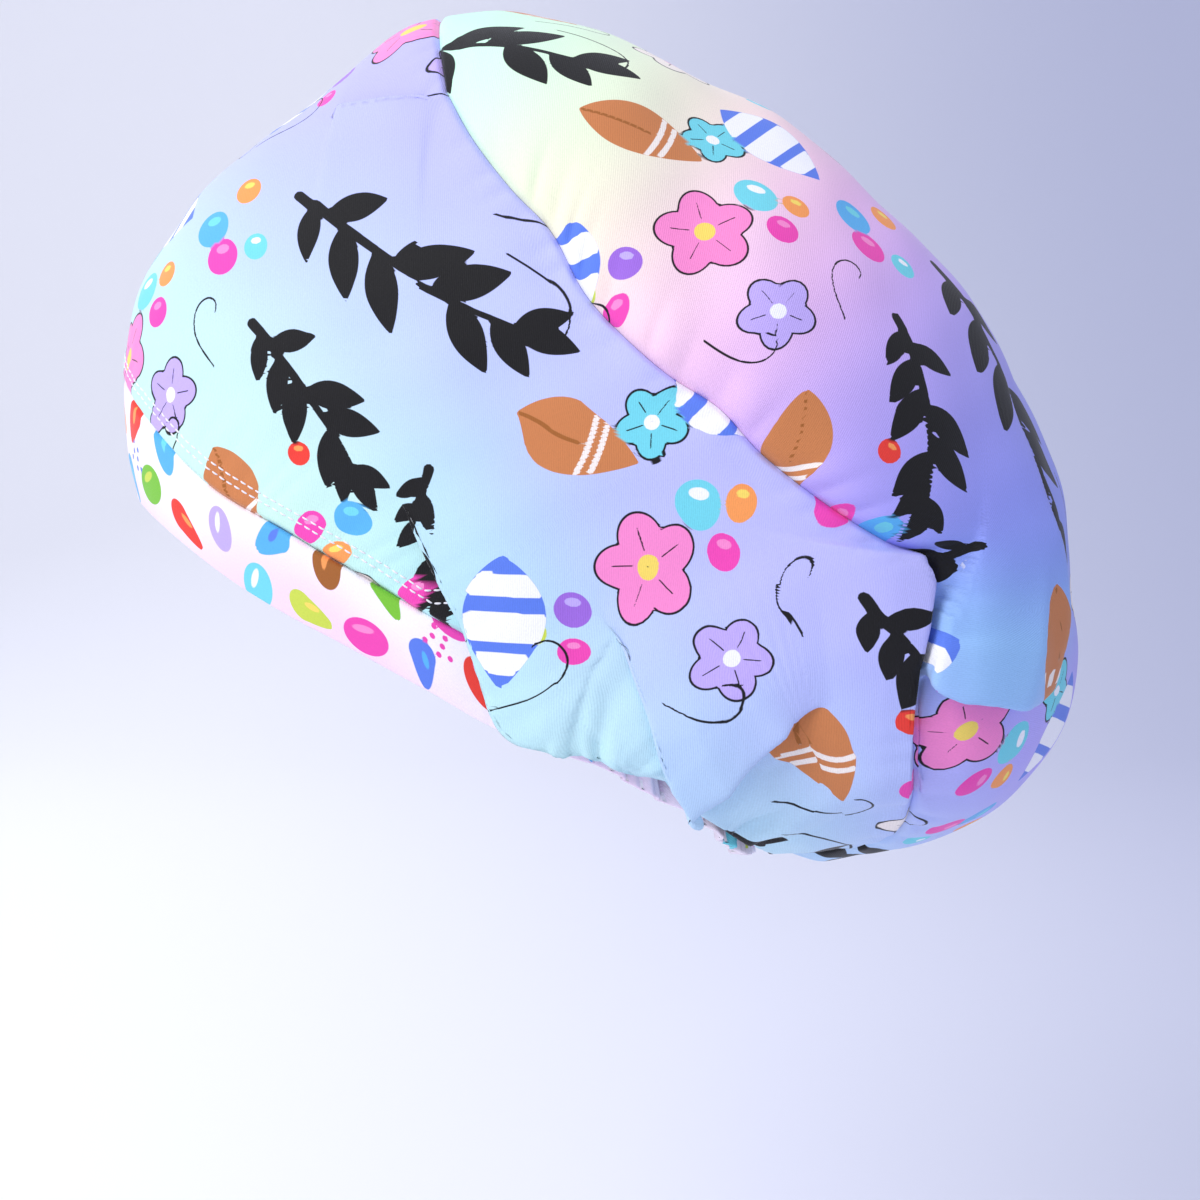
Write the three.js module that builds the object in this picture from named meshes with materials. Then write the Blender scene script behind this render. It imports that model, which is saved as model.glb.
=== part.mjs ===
import * as THREE from 'three';

// A bouffant scrub cap in the form it has when worn, in millimetres.
// The wearer faces -X, the wearer's left side is at -Y and +Z is up.
// The origin is the centre of the head opening.

const CENTRE = { x: 74, z: 63 };
const HALF_WIDTH = 93;
const WALL = 1.5;
const GAP = 0.4;
const PUFF_REACH = 16;
const BLOUSE_REACH = 24;
const NAPE_BAND_HEIGHT = 15;
const NAPE_BAND_TUCK = 3;
const BAND_CHANGE_TURN = 92;
const NAPE_JOIN_TURN = 157;
const GATHER_WAVE = 15;
const GATHER_DEPTH = 1.7;
const GATHER_START = 0.52;
const CROWN_FRONT_ANGLE = 118;
const CROWN_NAPE_ANGLE = -83;

// Side view of the body: radius from CENTRE at even angles, 0 at the back, 90 on top, 180 at the brow.
const OUTLINE = [
  { angle: 0, radius: 112 }, { angle: 15, radius: 103.5 }, { angle: 30, radius: 101 },
  { angle: 45, radius: 100 }, { angle: 60, radius: 102.5 }, { angle: 75, radius: 110.5 },
  { angle: 90, radius: 120 }, { angle: 105, radius: 139.5 }, { angle: 120, radius: 154.5 },
  { angle: 135, radius: 156 }, { angle: 150, radius: 166 }, { angle: 165, radius: 171.5 },
  { angle: 180, radius: 166 }, { angle: 195, radius: 158 }, { angle: 210, radius: 150 },
  { angle: 225, radius: 142 }, { angle: 240, radius: 132 }, { angle: 255, radius: 124 },
  { angle: 270, radius: 117 }, { angle: 285, radius: 118 }, { angle: 300, radius: 127.5 },
  { angle: 315, radius: 137 }, { angle: 330, radius: 135 }, { angle: 345, radius: 121 },
];

// Squareness of the front view: the power of the curve from the mid-plane to the side.
const SQUARENESS = [
  { angle: 0, power: 2.45 }, { angle: 90, power: 2.15 }, { angle: 180, power: 2.5 }, { angle: 270, power: 2.6 },
];

// Top view: the share of HALF_WIDTH that the body reaches at each station along X.
const WIDTHS = [
  { x: -116, share: 0.88 }, { x: -92, share: 0.9 }, { x: -11, share: 0.93 }, { x: 74, share: 1 },
  { x: 134, share: 1.055 }, { x: 184, share: 1.04 }, { x: 214, share: 1.03 },
];

// Lower edge of the cap and the upper seam of its rim bands, as heights along X.
const RIM = [
  { x: -91, z: 57.5 }, { x: -84, z: 55 }, { x: -72, z: 48.5 }, { x: -51, z: 36 }, { x: -24, z: 23 },
  { x: 1, z: 10.5 }, { x: 15, z: 2.5 }, { x: 33, z: -5.5 }, { x: 50, z: -10.5 }, { x: 65, z: -22 },
  { x: 78, z: -40 }, { x: 88, z: -53 }, { x: 96, z: -58 },
];
const BAND_SEAM = [
  { x: -99, z: 95.5 }, { x: -91, z: 91.5 }, { x: -85.5, z: 86 }, { x: -76, z: 77.5 }, { x: -60, z: 65 },
  { x: -40, z: 54.5 }, { x: -21, z: 44.5 }, { x: 0, z: 33.5 }, { x: 20, z: 25 }, { x: 40, z: 14.5 },
  { x: 65, z: -2 }, { x: 100, z: -30 },
];

// Seam between the side band and the crown, from its front corner back and down to the nape.
const SEAM = [
  { x: 7.5, y: -51, z: 173.5 }, { x: 15.5, y: -62, z: 160 }, { x: 26, y: -71, z: 147 },
  { x: 36, y: -77, z: 137 }, { x: 45.5, y: -83, z: 120 }, { x: 56, y: -87, z: 109 },
  { x: 67, y: -89, z: 99.5 }, { x: 80.5, y: -91, z: 91 }, { x: 92, y: -93, z: 79 },
  { x: 110, y: -93, z: 65 }, { x: 126, y: -91, z: 55 }, { x: 137, y: -88, z: 50 },
  { x: 137, y: -89, z: 38 }, { x: 135, y: -89, z: 21 }, { x: 134.5, y: -83, z: -2 },
  { x: 136, y: -73, z: -19 }, { x: 134, y: -56, z: -36 }, { x: 124, y: -46, z: -43 },
  { x: 108, y: -42, z: -46 }, { x: 94, y: -39, z: -46 },
];

// Rise of the crown beside its seam, by the share of the seam's length from the front corner.
const PUFF = [
  { along: 0, rise: 1.5 }, { along: 0.12, rise: 4 }, { along: 0.35, rise: 6 }, { along: 0.6, rise: 5 },
  { along: 0.75, rise: 3 }, { along: 1, rise: 1 },
];

// Folds of the wearer's left side. The cloth on the left of the line, seen from outside, lies on top.
const FOLDS = [
  {
    name: 'front_pleat', lift: 2.6, reach: 22, fade: [0.6, 0.05],
    line: [[7, -54, 173.5], [2, -52, 173.5], [-7, -49, 171.5], [-16, -44, 170], [-26, -38, 168]],
  },
  {
    name: 'temple_pleat', lift: 5, reach: 26, fade: [0.7, 0.02],
    line: [[-8, -80.5, 69], [-2.5, -82, 59.5], [6.5, -83.5, 47], [14.5, -84.5, 34.5], [20, -84.5, 25], [26, -83.5, 12],
      [32, -80, -6]],
  },
  {
    name: 'lobe_crease', lift: 3.4, reach: 24, fade: [0.4, 0.1],
    line: [[45, -90, 42], [57, -90, 28.5], [64, -89, 16.5], [68.5, -87, 5], [71.5, -85, -0.5], [74, -81, -11]],
  },
  {
    name: 'droop_fold', lift: 6.5, reach: 26, fade: [0.08, 0.35],
    line: [[73, -81, -11], [78.5, -83, -6], [87.5, -86, 0], [95.5, -88, 5], [102, -89.5, 9.5], [113, -90, 11.5]],
  },
  {
    name: 'pocket_fold', lift: 5.5, reach: 30, fade: [0.3, 0.02],
    line: [[136, -70, -24], [136, -76, -16], [135, -84, -2], [134, -88, 12], [134.5, -90, 30], [136, -89.5, 42],
      [137, -88, 52]],
  },
  {
    name: 'overhang_fold', lift: 6.5, reach: 26, fade: [0.04, 0.35],
    line: [[134.5, -89, 21], [140, -87, 18.5], [148, -83.5, 17], [154.5, -80, 15], [162.5, -74, 12], [177, -59, 7.5]],
  },
  {
    name: 'back_crease', lift: 3, reach: 16, fade: [0.3, 0.3],
    line: [[177, -59, 7], [174, -64, 19], [175, -60.5, 32.5], [173.5, -61, 42.5], [170, -62.5, 57], [167, -57, 76],
      [161, -40, 104]],
  },
];

// Plain folds of the wearer's right side.
const RIGHT_FOLDS = [
  {
    name: 'right_temple_pleat', lift: 4, reach: 26, fade: [0.02, 0.7],
    line: [[32, 80, -7], [26, 83.5, 12], [19, 84.5, 27], [7, 83.5, 46], [-5, 81.5, 63]],
  },
  {
    name: 'right_droop_fold', lift: 5, reach: 26, fade: [0.35, 0.08],
    line: [[114, 89, 15], [102, 89, 9], [90, 86, 1], [78, 82, -8], [72, 80, -15]],
  },
  {
    name: 'right_pocket_fold', lift: 3.5, reach: 28, fade: [0.05, 0.3],
    line: [[137, 88, 50], [135, 89, 30], [134.5, 83, -2], [136, 72, -20]],
  },
];

// Soft swellings and hollows of the cloth, with the radius over which they fade.
const SWELLS = [
  { x: 53, y: -80, z: -1, rise: 3.5, radius: 19 },
  { x: 110, y: -75, z: -24, rise: 3, radius: 26 },
  { x: 150, y: -70, z: -15, rise: 3, radius: 24 },
  { x: 66, y: -86, z: 106, rise: 2, radius: 12 },
  { x: 86, y: -92, z: 90, rise: 2, radius: 11 },
  { x: 53, y: 80, z: -1, rise: 3, radius: 19 },
];

const COLOURS = { crown: 0xd9d4f2, side_band: 0xc3cdf5, brow_band: 0xf7eef6, nape_band: 0xf2e2f0 };

const rad = THREE.MathUtils.degToRad;
const clamp = THREE.MathUtils.clamp;
const ease = (t) => clamp(t, 0, 1) ** 2 * (3 - 2 * clamp(t, 0, 1));
const vec = (p) => new THREE.Vector3(p[0] ?? p.x, p[1] ?? p.y, p[2] ?? p.z);

// Smooth curve through evenly spaced rows of a whole turn.
function aroundTurn(rows, key, degrees) {
  const step = 360 / rows.length;
  const at = (((degrees % 360) + 360) % 360) / step;
  const i = Math.floor(at);
  const f = at - i;
  const [a, b, c, d] = [-1, 0, 1, 2].map((k) => rows[(i + k + rows.length) % rows.length][key]);
  return b + 0.5 * f * (c - a + f * (2 * a - 5 * b + 4 * c - d + f * (3 * (b - c) + d - a)));
}

// Smooth curve through rows that rise in one column.
function along(rows, column, key, value) {
  const last = rows.length - 1;
  const v = clamp(value, rows[0][column], rows[last][column]);
  let i = 0;
  while (i < last - 1 && rows[i + 1][column] < v) i += 1;
  const slope = (k) => {
    const lo = Math.max(k - 1, 0);
    const hi = Math.min(k + 1, last);
    return (rows[hi][key] - rows[lo][key]) / (rows[hi][column] - rows[lo][column]);
  };
  const width = rows[i + 1][column] - rows[i][column];
  const t = (v - rows[i][column]) / width;
  const [p, q] = [rows[i][key], rows[i + 1][key]];
  const [m, n] = [slope(i) * width, slope(i + 1) * width];
  return p + t * (m + t * (3 * (q - p) - 2 * m - n + t * (2 * (p - q) + m + n)));
}

const widthAt = (x) => along(WIDTHS, 'x', 'share', x);
const angleOf = (x, z) => THREE.MathUtils.radToDeg(Math.atan2(z, x));

// Point of the smooth body in a direction from its centre, with Y counted before WIDTHS.
function bodyPoint(direction) {
  const angle = angleOf(direction.x, direction.z);
  const power = aroundTurn(SQUARENESS, 'power', angle);
  const flat = Math.hypot(direction.x, direction.z) / aroundTurn(OUTLINE, 'radius', angle);
  const r = (flat ** power + (Math.abs(direction.y) / HALF_WIDTH) ** power) ** (-1 / power);
  const x = CENTRE.x + r * direction.x;
  return new THREE.Vector3(x, r * direction.y * widthAt(x), CENTRE.z + r * direction.z);
}

function directionTo(point) {
  return new THREE.Vector3(point.x - CENTRE.x, point.y / widthAt(point.x), point.z - CENTRE.z).normalize();
}

function bodyNormal(direction) {
  const helper = Math.abs(direction.y) < 0.9 ? new THREE.Vector3(0, 1, 0) : new THREE.Vector3(1, 0, 0);
  const a = helper.cross(direction).normalize();
  const b = direction.clone().cross(a);
  const step = 0.02;
  const across = bodyPoint(direction.clone().addScaledVector(a, step).normalize())
    .sub(bodyPoint(direction.clone().addScaledVector(a, -step).normalize()));
  const up = bodyPoint(direction.clone().addScaledVector(b, step).normalize())
    .sub(bodyPoint(direction.clone().addScaledVector(b, -step).normalize()));
  return across.cross(up).normalize();
}

// How far out a point lies, 1 on the body.
function level(point) {
  const [dx, dz] = [point.x - CENTRE.x, point.z - CENTRE.z];
  const angle = angleOf(dx, dz);
  const power = aroundTurn(SQUARENESS, 'power', angle);
  return (Math.hypot(dx, dz) / aroundTurn(OUTLINE, 'radius', angle)) ** power
    + (Math.abs(point.y) / (HALF_WIDTH * widthAt(point.x))) ** power;
}

// Where a rim line meets the body, at a turn about the opening: 0 at the brow, 90 on the left, 180 at the nape.
function rimPoint(rows, turn) {
  let [near, far] = [20, 260];
  const at = (r) => {
    const x = -r * Math.cos(rad(turn));
    return new THREE.Vector3(x, -r * Math.sin(rad(turn)), along(rows, 'x', 'z', x));
  };
  for (let k = 0; k < 40; k += 1) {
    const mid = (near + far) / 2;
    if (level(at(mid)) < 1) near = mid;
    else far = mid;
  }
  return at(near);
}

const lowerEdge = (turn) => rimPoint(RIM, turn);

// Top of the rim bands: on the body at the brow, upright and tucked in under the bag at the nape.
function bandTop(turn) {
  const onBody = rimPoint(BAND_SEAM, turn);
  const foot = lowerEdge(turn);
  const inward = new THREE.Vector3(-foot.x, -foot.y, 0).normalize();
  const upright = foot.clone().addScaledVector(inward, NAPE_BAND_TUCK);
  upright.z += NAPE_BAND_HEIGHT;
  return onBody.lerp(upright, ease((Math.abs(turn) - BAND_CHANGE_TURN) / 30));
}

function slerp(a, b, t) {
  const angle = a.angleTo(b);
  if (angle < 1e-6) return a.clone();
  return a.clone().multiplyScalar(Math.sin((1 - t) * angle) / Math.sin(angle))
    .addScaledVector(b, Math.sin(t * angle) / Math.sin(angle));
}

const mirrored = (v) => new THREE.Vector3(v.x, -v.y, v.z);

// Evenly spaced path of directions with its length over the body.
function pathOf(directions) {
  const points = directions.map(bodyPoint);
  const lengths = [0];
  for (let i = 1; i < points.length; i += 1) lengths.push(lengths[i - 1] + points[i].distanceTo(points[i - 1]));
  const total = lengths[lengths.length - 1];
  return {
    total,
    at(share) {
      const target = clamp(share, 0, 1) * total;
      let i = 0;
      while (i < lengths.length - 2 && lengths[i + 1] < target) i += 1;
      return slerp(directions[i], directions[i + 1], (target - lengths[i]) / (lengths[i + 1] - lengths[i]));
    },
  };
}

const steps = (n) => Array.from({ length: n + 1 }, (_, i) => i / n);

// The upper edge of the rim bands every degree, with how far it is tucked in from the body.
const rimTable = [];
for (let turn = 0; turn <= 180; turn += 1) {
  const top = bandTop(turn);
  const start = bodyPoint(directionTo(top));
  const before = rimTable[rimTable.length - 1];
  const length = before ? before.length + before.start.distanceTo(start) : 0;
  rimTable.push({ turn, length, start, tuck: top.clone().sub(start) });
}

function lengthAt(turn) {
  const i = Math.min(Math.floor(Math.abs(turn)), rimTable.length - 2);
  return THREE.MathUtils.lerp(rimTable[i].length, rimTable[i + 1].length, Math.abs(turn) - i);
}

// What a body point has to do with the rim bands: its distance from them, its place along them and their tuck.
function rimOf(point) {
  const left = new THREE.Vector3(point.x, -Math.abs(point.y), point.z);
  let best = { away: Infinity };
  for (let i = 0; i < rimTable.length - 1; i += 1) {
    const [a, b] = [rimTable[i], rimTable[i + 1]];
    const run = b.start.clone().sub(a.start);
    const t = clamp(left.clone().sub(a.start).dot(run) / run.lengthSq(), 0, 1);
    const away = left.distanceTo(a.start.clone().addScaledVector(run, t));
    if (away < best.away) best = { away, t, a, b };
  }
  const { away, t, a, b } = best;
  const tuck = a.tuck.clone().lerp(b.tuck, t);
  if (point.y > 0) tuck.y *= -1;
  return { away, turn: a.turn + t, length: a.length + t * (b.length - a.length), tuck };
}

const seamCurve = new THREE.CatmullRomCurve3([...SEAM.map(vec), bandTop(NAPE_JOIN_TURN)], false, 'centripetal');
const seamSide = pathOf(steps(160).map((t) => directionTo(seamCurve.getPoint(t))));

const crownMiddle = pathOf(steps(160).map((t) => {
  const angle = rad(THREE.MathUtils.lerp(CROWN_FRONT_ANGLE, CROWN_NAPE_ANGLE, t));
  return new THREE.Vector3(Math.cos(angle), 0, Math.sin(angle));
}));

// Direction on the crown: across from -1 at the right seam to 1 at the left one, down from the front seam to the nape.
function crownDirection(across, down) {
  const left = seamSide.at(down);
  const middle = crownMiddle.at(down);
  const own = angleOf(left.x, left.z);
  const bow = ((own - angleOf(middle.x, middle.z) + 540) % 360) - 180;
  const turned = rad(bow * (1 - across ** 2));
  const arc = slerp(mirrored(left), left, (across + 1) / 2).applyAxisAngle(new THREE.Vector3(0, 1, 0), turned);
  if (down < 0.8) return arc;
  const join = seamSide.at(1);
  const foot = directionTo(bandTop(180 - (180 - NAPE_JOIN_TURN) * Math.abs(across)));
  const change = (across > 0 ? foot : mirrored(foot)).sub(slerp(mirrored(join), join, (across + 1) / 2));
  return arc.addScaledVector(change, ease((down - 0.8) / 0.2)).normalize();
}

const frontHalf = steps(20).map((t) => crownDirection(t, 0));
const upperPath = pathOf([...frontHalf, ...steps(160).slice(1).map((t) => seamSide.at(t))]);
const frontShare = 1 - seamSide.total / upperPath.total;
const turnSteps = steps(160).map((t) => t * NAPE_JOIN_TURN);
const lowerPath = pathOf(turnSteps.map((turn) => directionTo(bandTop(turn))));

// Turn about the opening at a share of the lower path's length.
const turns = new Map();
function turnAt(share) {
  if (turns.has(share)) return turns.get(share);
  let [a, b] = [0, NAPE_JOIN_TURN];
  const goal = lowerPath.at(share);
  const plan = (v) => {
    const p = bodyPoint(v);
    return Math.atan2(-p.y, -p.x);
  };
  for (let k = 0; k < 30; k += 1) {
    const mid = (a + b) / 2;
    if (plan(directionTo(bandTop(mid))) < plan(goal)) a = mid;
    else b = mid;
  }
  turns.set(share, (a + b) / 2);
  return (a + b) / 2;
}

// A fold line laid on the body, as short straight lengths.
function foldLine(fold) {
  const curve = new THREE.CatmullRomCurve3(fold.line.map(vec), false, 'centripetal');
  return steps(24).map((t) => bodyPoint(directionTo(curve.getPoint(t))));
}

const folds = [...FOLDS, ...RIGHT_FOLDS].map((fold) => ({ ...fold, points: foldLine(fold) }));

// Height of one fold at a point: a step across its line that fades away on the upper side.
function foldHeight(fold, point, normal) {
  let best = { distance: Infinity };
  const last = fold.points.length - 1;
  for (let i = 0; i < last; i += 1) {
    const a = fold.points[i];
    const run = fold.points[i + 1].clone().sub(a);
    const t = clamp(point.clone().sub(a).dot(run) / run.lengthSq(), 0, 1);
    const off = point.clone().sub(a).addScaledVector(run, -t);
    if (off.length() < best.distance) best = { distance: off.length(), off, run, share: (i + t) / last };
  }
  if (best.distance > 3 * fold.reach) return 0;
  const side = best.off.dot(normal.clone().cross(best.run).normalize());
  const strength = ease(best.share / fold.fade[0]) * ease((1 - best.share) / fold.fade[1]);
  const beyond = Math.sqrt(Math.max(best.distance ** 2 - side ** 2, 0));
  const top = fold.lift * Math.exp(-((Math.max(side, 0) / fold.reach) ** 2));
  const below = -0.22 * fold.lift * Math.exp(-((side / 8) ** 2));
  return strength * Math.exp(-((beyond / 8) ** 2)) * (below + (top - below) * ease((side + 3.5) / 7));
}

function relief(point, normal) {
  let height = 0;
  for (const fold of folds) height += foldHeight(fold, point, normal);
  for (const swell of SWELLS) height += swell.rise * Math.exp(-((point.distanceTo(vec(swell)) / swell.radius) ** 2));
  return height;
}

// Gathers along the elastic: their height at a turn, a length along the rim and a distance above the bands.
function gather(turn, length, above) {
  const strength = ease((Math.abs(turn) - 84) / 16);
  return strength * GATHER_DEPTH * Math.cos((2 * Math.PI * length) / GATHER_WAVE) * Math.exp(-((above / 20) ** 2));
}

// The way that the elastic faces at a turn: as the body does in front, level and outward at the nape.
function elasticFacing(turn, point, normal) {
  const level = new THREE.Vector3(point.x, point.y, 0).normalize();
  return normal.clone().lerp(level, ease((Math.abs(turn) - BAND_CHANGE_TURN) / 30)).normalize();
}

// Point of the cloth in a direction, raised by its folds, its gathers and its own puff.
function clothPoint(direction, puff) {
  const body = bodyPoint(direction);
  const rim = rimOf(body);
  const open = bodyNormal(direction);
  const normal = elasticFacing(rim.turn, body, open).lerp(open, ease(rim.away / 14)).normalize();
  const base = body.addScaledVector(rim.tuck, 1 - ease(rim.away / BLOUSE_REACH));
  const height = relief(base, normal) * ease(rim.away / 5) + gather(rim.turn, rim.length, rim.away) + puff;
  return { point: base.addScaledVector(normal, height), normal };
}

function sidePoint(share, up) {
  const near = Math.abs(share);
  const start = directionTo(bandTop(turnAt(near)));
  const finish = upperPath.at(near);
  const reach = Math.max(bodyPoint(start).distanceTo(bodyPoint(finish)), 1);
  const inset = GAP / 2 / reach;
  const direction = slerp(start, finish, inset + up * (1 - 2 * inset));
  return clothPoint(share < 0 ? mirrored(direction) : direction, 0);
}

function crownPoint(across, down) {
  const edge = bodyPoint(seamSide.at(down));
  const halfSpan = Math.max(edge.distanceTo(bodyPoint(crownDirection(0, down))), 1);
  const side = across * (1 - GAP / 2 / halfSpan);
  const t = clamp(down, GAP / 2 / seamSide.total, 1 - GAP / 2 / seamSide.total);
  const fromSeam = (1 - Math.abs(side)) * halfSpan;
  const swell = along(PUFF, 'along', 'rise', t) * (fromSeam / PUFF_REACH) * Math.exp(1 - fromSeam / PUFF_REACH);
  return clothPoint(crownDirection(side, t), swell * ease((t * seamSide.total) / PUFF_REACH));
}

function bandPoint(turn, up) {
  const foot = lowerEdge(turn);
  const top = bandTop(turn);
  const finish = directionTo(top);
  const t = up * (1 - GAP / 2 / foot.distanceTo(top));
  const base = bodyPoint(slerp(directionTo(foot), finish, t)).addScaledVector(top.sub(bodyPoint(finish)), t);
  const way = elasticFacing(turn, base, bodyNormal(directionTo(base)));
  return { point: base.addScaledVector(way, gather(turn, lengthAt(turn), 0)), normal: way };
}

// A closed wall whose outer face goes through a grid of points, with its inner face one wall inside.
// Its edges are cut square to the smooth body, so that neighbours keep their gap.
function wall(name, cells) {
  const outer = cells.map((row) => row.map((cell) => cell.point));
  const [rows, columns] = [outer.length, outer[0].length];
  const at = (grid, i, j) => grid[clamp(i, 0, rows - 1)][clamp(j, 0, columns - 1)];
  const inner = outer.map((row, i) => row.map((point, j) => {
    const onEdge = i === 0 || j === 0 || i === rows - 1 || j === columns - 1;
    const a = at(outer, i + 1, j).clone().sub(at(outer, i - 1, j));
    const b = at(outer, i, j + 1).clone().sub(at(outer, i, j - 1));
    return point.clone().addScaledVector(onEdge ? cells[i][j].normal : a.cross(b).normalize(), -WALL);
  }));
  const positions = [...outer.flat(), ...inner.flat()].flatMap((p) => [p.x, p.y, p.z]);
  const index = [];
  const half = rows * columns;
  const quad = (a, b, c, d) => index.push(a, b, c, a, c, d);
  const id = (i, j) => i * columns + j;
  for (let i = 0; i < rows - 1; i += 1) {
    for (let j = 0; j < columns - 1; j += 1) {
      quad(id(i, j), id(i + 1, j), id(i + 1, j + 1), id(i, j + 1));
      quad(half + id(i, j), half + id(i, j + 1), half + id(i + 1, j + 1), half + id(i + 1, j));
    }
  }
  for (let i = 0; i < rows - 1; i += 1) {
    quad(id(i, 0), half + id(i, 0), half + id(i + 1, 0), id(i + 1, 0));
    quad(id(i + 1, columns - 1), half + id(i + 1, columns - 1), half + id(i, columns - 1), id(i, columns - 1));
  }
  for (let j = 0; j < columns - 1; j += 1) {
    quad(id(0, j + 1), half + id(0, j + 1), half + id(0, j), id(0, j));
    quad(id(rows - 1, j), half + id(rows - 1, j), half + id(rows - 1, j + 1), id(rows - 1, j + 1));
  }
  const geometry = new THREE.BufferGeometry();
  geometry.setAttribute('position', new THREE.Float32BufferAttribute(positions, 3));
  geometry.setIndex(index);
  geometry.computeVertexNormals();
  const mesh = new THREE.Mesh(geometry, new THREE.MeshStandardMaterial({ color: COLOURS[name], roughness: 0.85 }));
  mesh.name = name;
  return mesh;
}

// Shares of the side band's columns on one side: across the front seam, down the side and into the gathers.
const frontShares = steps(11).map((t) => t * frontShare);
const sideShares = steps(14).slice(1).map((t) => frontShare + t * (GATHER_START - frontShare));
const napeShares = steps(25).slice(1).map((t) => GATHER_START + t * (0.985 - GATHER_START));
const leftShares = [...frontShares, ...sideShares, ...napeShares];
const columns = [...leftShares.slice(1).reverse().map((share) => -share), ...leftShares];

const cap = new THREE.Group();
cap.name = 'scrub_cap';

cap.add(wall('side_band', columns.map((share) => steps(12).map((up) => sidePoint(share, up)))));

const crownRows = [frontShare, ...sideShares, ...napeShares].map((share) => (share - frontShare) / (1 - frontShare));
const crownColumns = columns.filter((share) => Math.abs(share) <= frontShare).map((share) => share / frontShare);
cap.add(wall('crown', crownRows.map((down) => crownColumns.map((across) => crownPoint(-across, down)))));

// Columns of the bands, at the turns where the panels above them have theirs.
const leftTurns = leftShares.map(turnAt);
const browTurns = leftTurns.filter((turn) => turn <= BAND_CHANGE_TURN);
const napeLeft = [
  browTurns[browTurns.length - 1] + GAP / 1.2,
  ...leftTurns.filter((turn) => turn > BAND_CHANGE_TURN),
  ...crownColumns.filter((across) => across >= 0).reverse().map((across) => 180 - (180 - NAPE_JOIN_TURN) * across),
];
const bandColumn = (turn, rows) => steps(rows).map((up) => {
  const { point, normal } = bandPoint(Math.abs(turn), up);
  return turn < 0 ? { point: mirrored(point), normal: mirrored(normal) } : { point, normal };
});
const bothSides = [...browTurns.slice(1).reverse().map((turn) => -turn), ...browTurns];
cap.add(wall('brow_band', bothSides.map((turn) => bandColumn(turn, 3))));
const aroundNape = [...napeLeft, ...napeLeft.slice(0, -1).reverse().map((turn) => -turn)];
cap.add(wall('nape_band', aroundNape.map((turn) => bandColumn(turn, 2))));

export default cap;
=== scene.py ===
import math

import bpy
import numpy as np
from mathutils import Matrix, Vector


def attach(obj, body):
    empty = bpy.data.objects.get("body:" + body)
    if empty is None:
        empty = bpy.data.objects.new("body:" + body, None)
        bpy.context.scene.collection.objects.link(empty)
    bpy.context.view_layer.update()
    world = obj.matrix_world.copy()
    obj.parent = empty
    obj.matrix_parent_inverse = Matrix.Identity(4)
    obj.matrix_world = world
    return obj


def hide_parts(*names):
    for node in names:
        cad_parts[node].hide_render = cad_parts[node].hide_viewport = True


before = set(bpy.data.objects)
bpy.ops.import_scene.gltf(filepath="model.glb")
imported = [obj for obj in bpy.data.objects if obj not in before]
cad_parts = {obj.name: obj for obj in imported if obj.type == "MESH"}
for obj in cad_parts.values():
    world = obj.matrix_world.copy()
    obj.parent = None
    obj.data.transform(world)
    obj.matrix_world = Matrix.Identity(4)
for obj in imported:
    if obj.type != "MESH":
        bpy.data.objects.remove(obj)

bl_info = {
    "name": "Scrub Cap",
    "version": (1, 0, 0),
    "blender": (4, 5, 0),
    "location": "View3D > Sidebar > Scrub Cap",
    "description": "Builds the printed cloth of a bouffant scrub cap and a plain stage for it",
    "category": "Add Mesh",
}

MM = 0.001

# The smooth body of the cap, in millimetres, as the part's source has it.
CENTRE_X = 74.0
CENTRE_Z = 63.0
HALF_WIDTH = 93.0
PUFF_REACH = 16.0
BLOUSE_REACH = 24.0
NAPE_BAND_HEIGHT = 15.0
NAPE_BAND_TUCK = 3.0
BAND_CHANGE_TURN = 92.0
BAND_CHANGE_RUN = 30.0
NAPE_JOIN_TURN = 157.0
CROWN_FRONT_ANGLE = 118.0
CROWN_NAPE_ANGLE = -83.0

# How the cloth is laid out on it, in millimetres and degrees about the opening.
EDGE_INSET = 0.05
SIDE_END = 0.985  # share of the side panel's half length
FULL_STRIP = 22.0  # a strip lower than this has its seam rows drawn together
BAND_OVERLAP = 2.5
STITCH_RISES = (4.5, 6.5)
STITCH_END_TURN = 98.0
FOLD_WIDTH = 9.0
LARGEST_JUMP = 10.0
BAND_CALM = 5.0  # folds fade out this near the bands
SEAM_CALM = 9.0  # and this near a seam,
PRINT_CALM = 28.0  # and their print this near one
WRONG_SIDE_MARGIN = 6  # nodes
UV_PER_MM = 0.01
FAR = 9.0  # more than any distance that the print draws

# Side view: radius from the centre every 15 degrees, 0 at the back, 90 on top, 180 at the brow.
OUTLINE = np.array([
    112, 103.5, 101, 100, 102.5, 110.5, 120, 139.5, 154.5, 156, 166, 171.5,
    166, 158, 150, 142, 132, 124, 117, 118, 127.5, 137, 135, 121,
])

# Front view: power of the curve from the mid-plane to the side, every 90 degrees.
SQUARENESS = np.array([2.45, 2.15, 2.5, 2.6])

# Top view: x, share of HALF_WIDTH.
WIDTHS = np.array([(-116, 0.88), (-92, 0.9), (-11, 0.93), (74, 1), (134, 1.055), (184, 1.04), (214, 1.03)])

# Lower edge and upper seam of the rim bands: x, z.
RIM = np.array([
    (-91, 57.5), (-84, 55), (-72, 48.5), (-51, 36), (-24, 23), (1, 10.5), (15, 2.5), (33, -5.5),
    (50, -10.5), (65, -20.5), (78, -28.5), (88, -41.5), (96, -53),
])
BAND_SEAM = np.array([
    (-99, 95.5), (-91, 91.5), (-85.5, 86), (-76, 77.5), (-60, 65), (-40, 54.5), (-21, 44.5), (0, 33.5),
    (20, 25), (40, 14.5), (65, -2), (100, -30),
])

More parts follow.
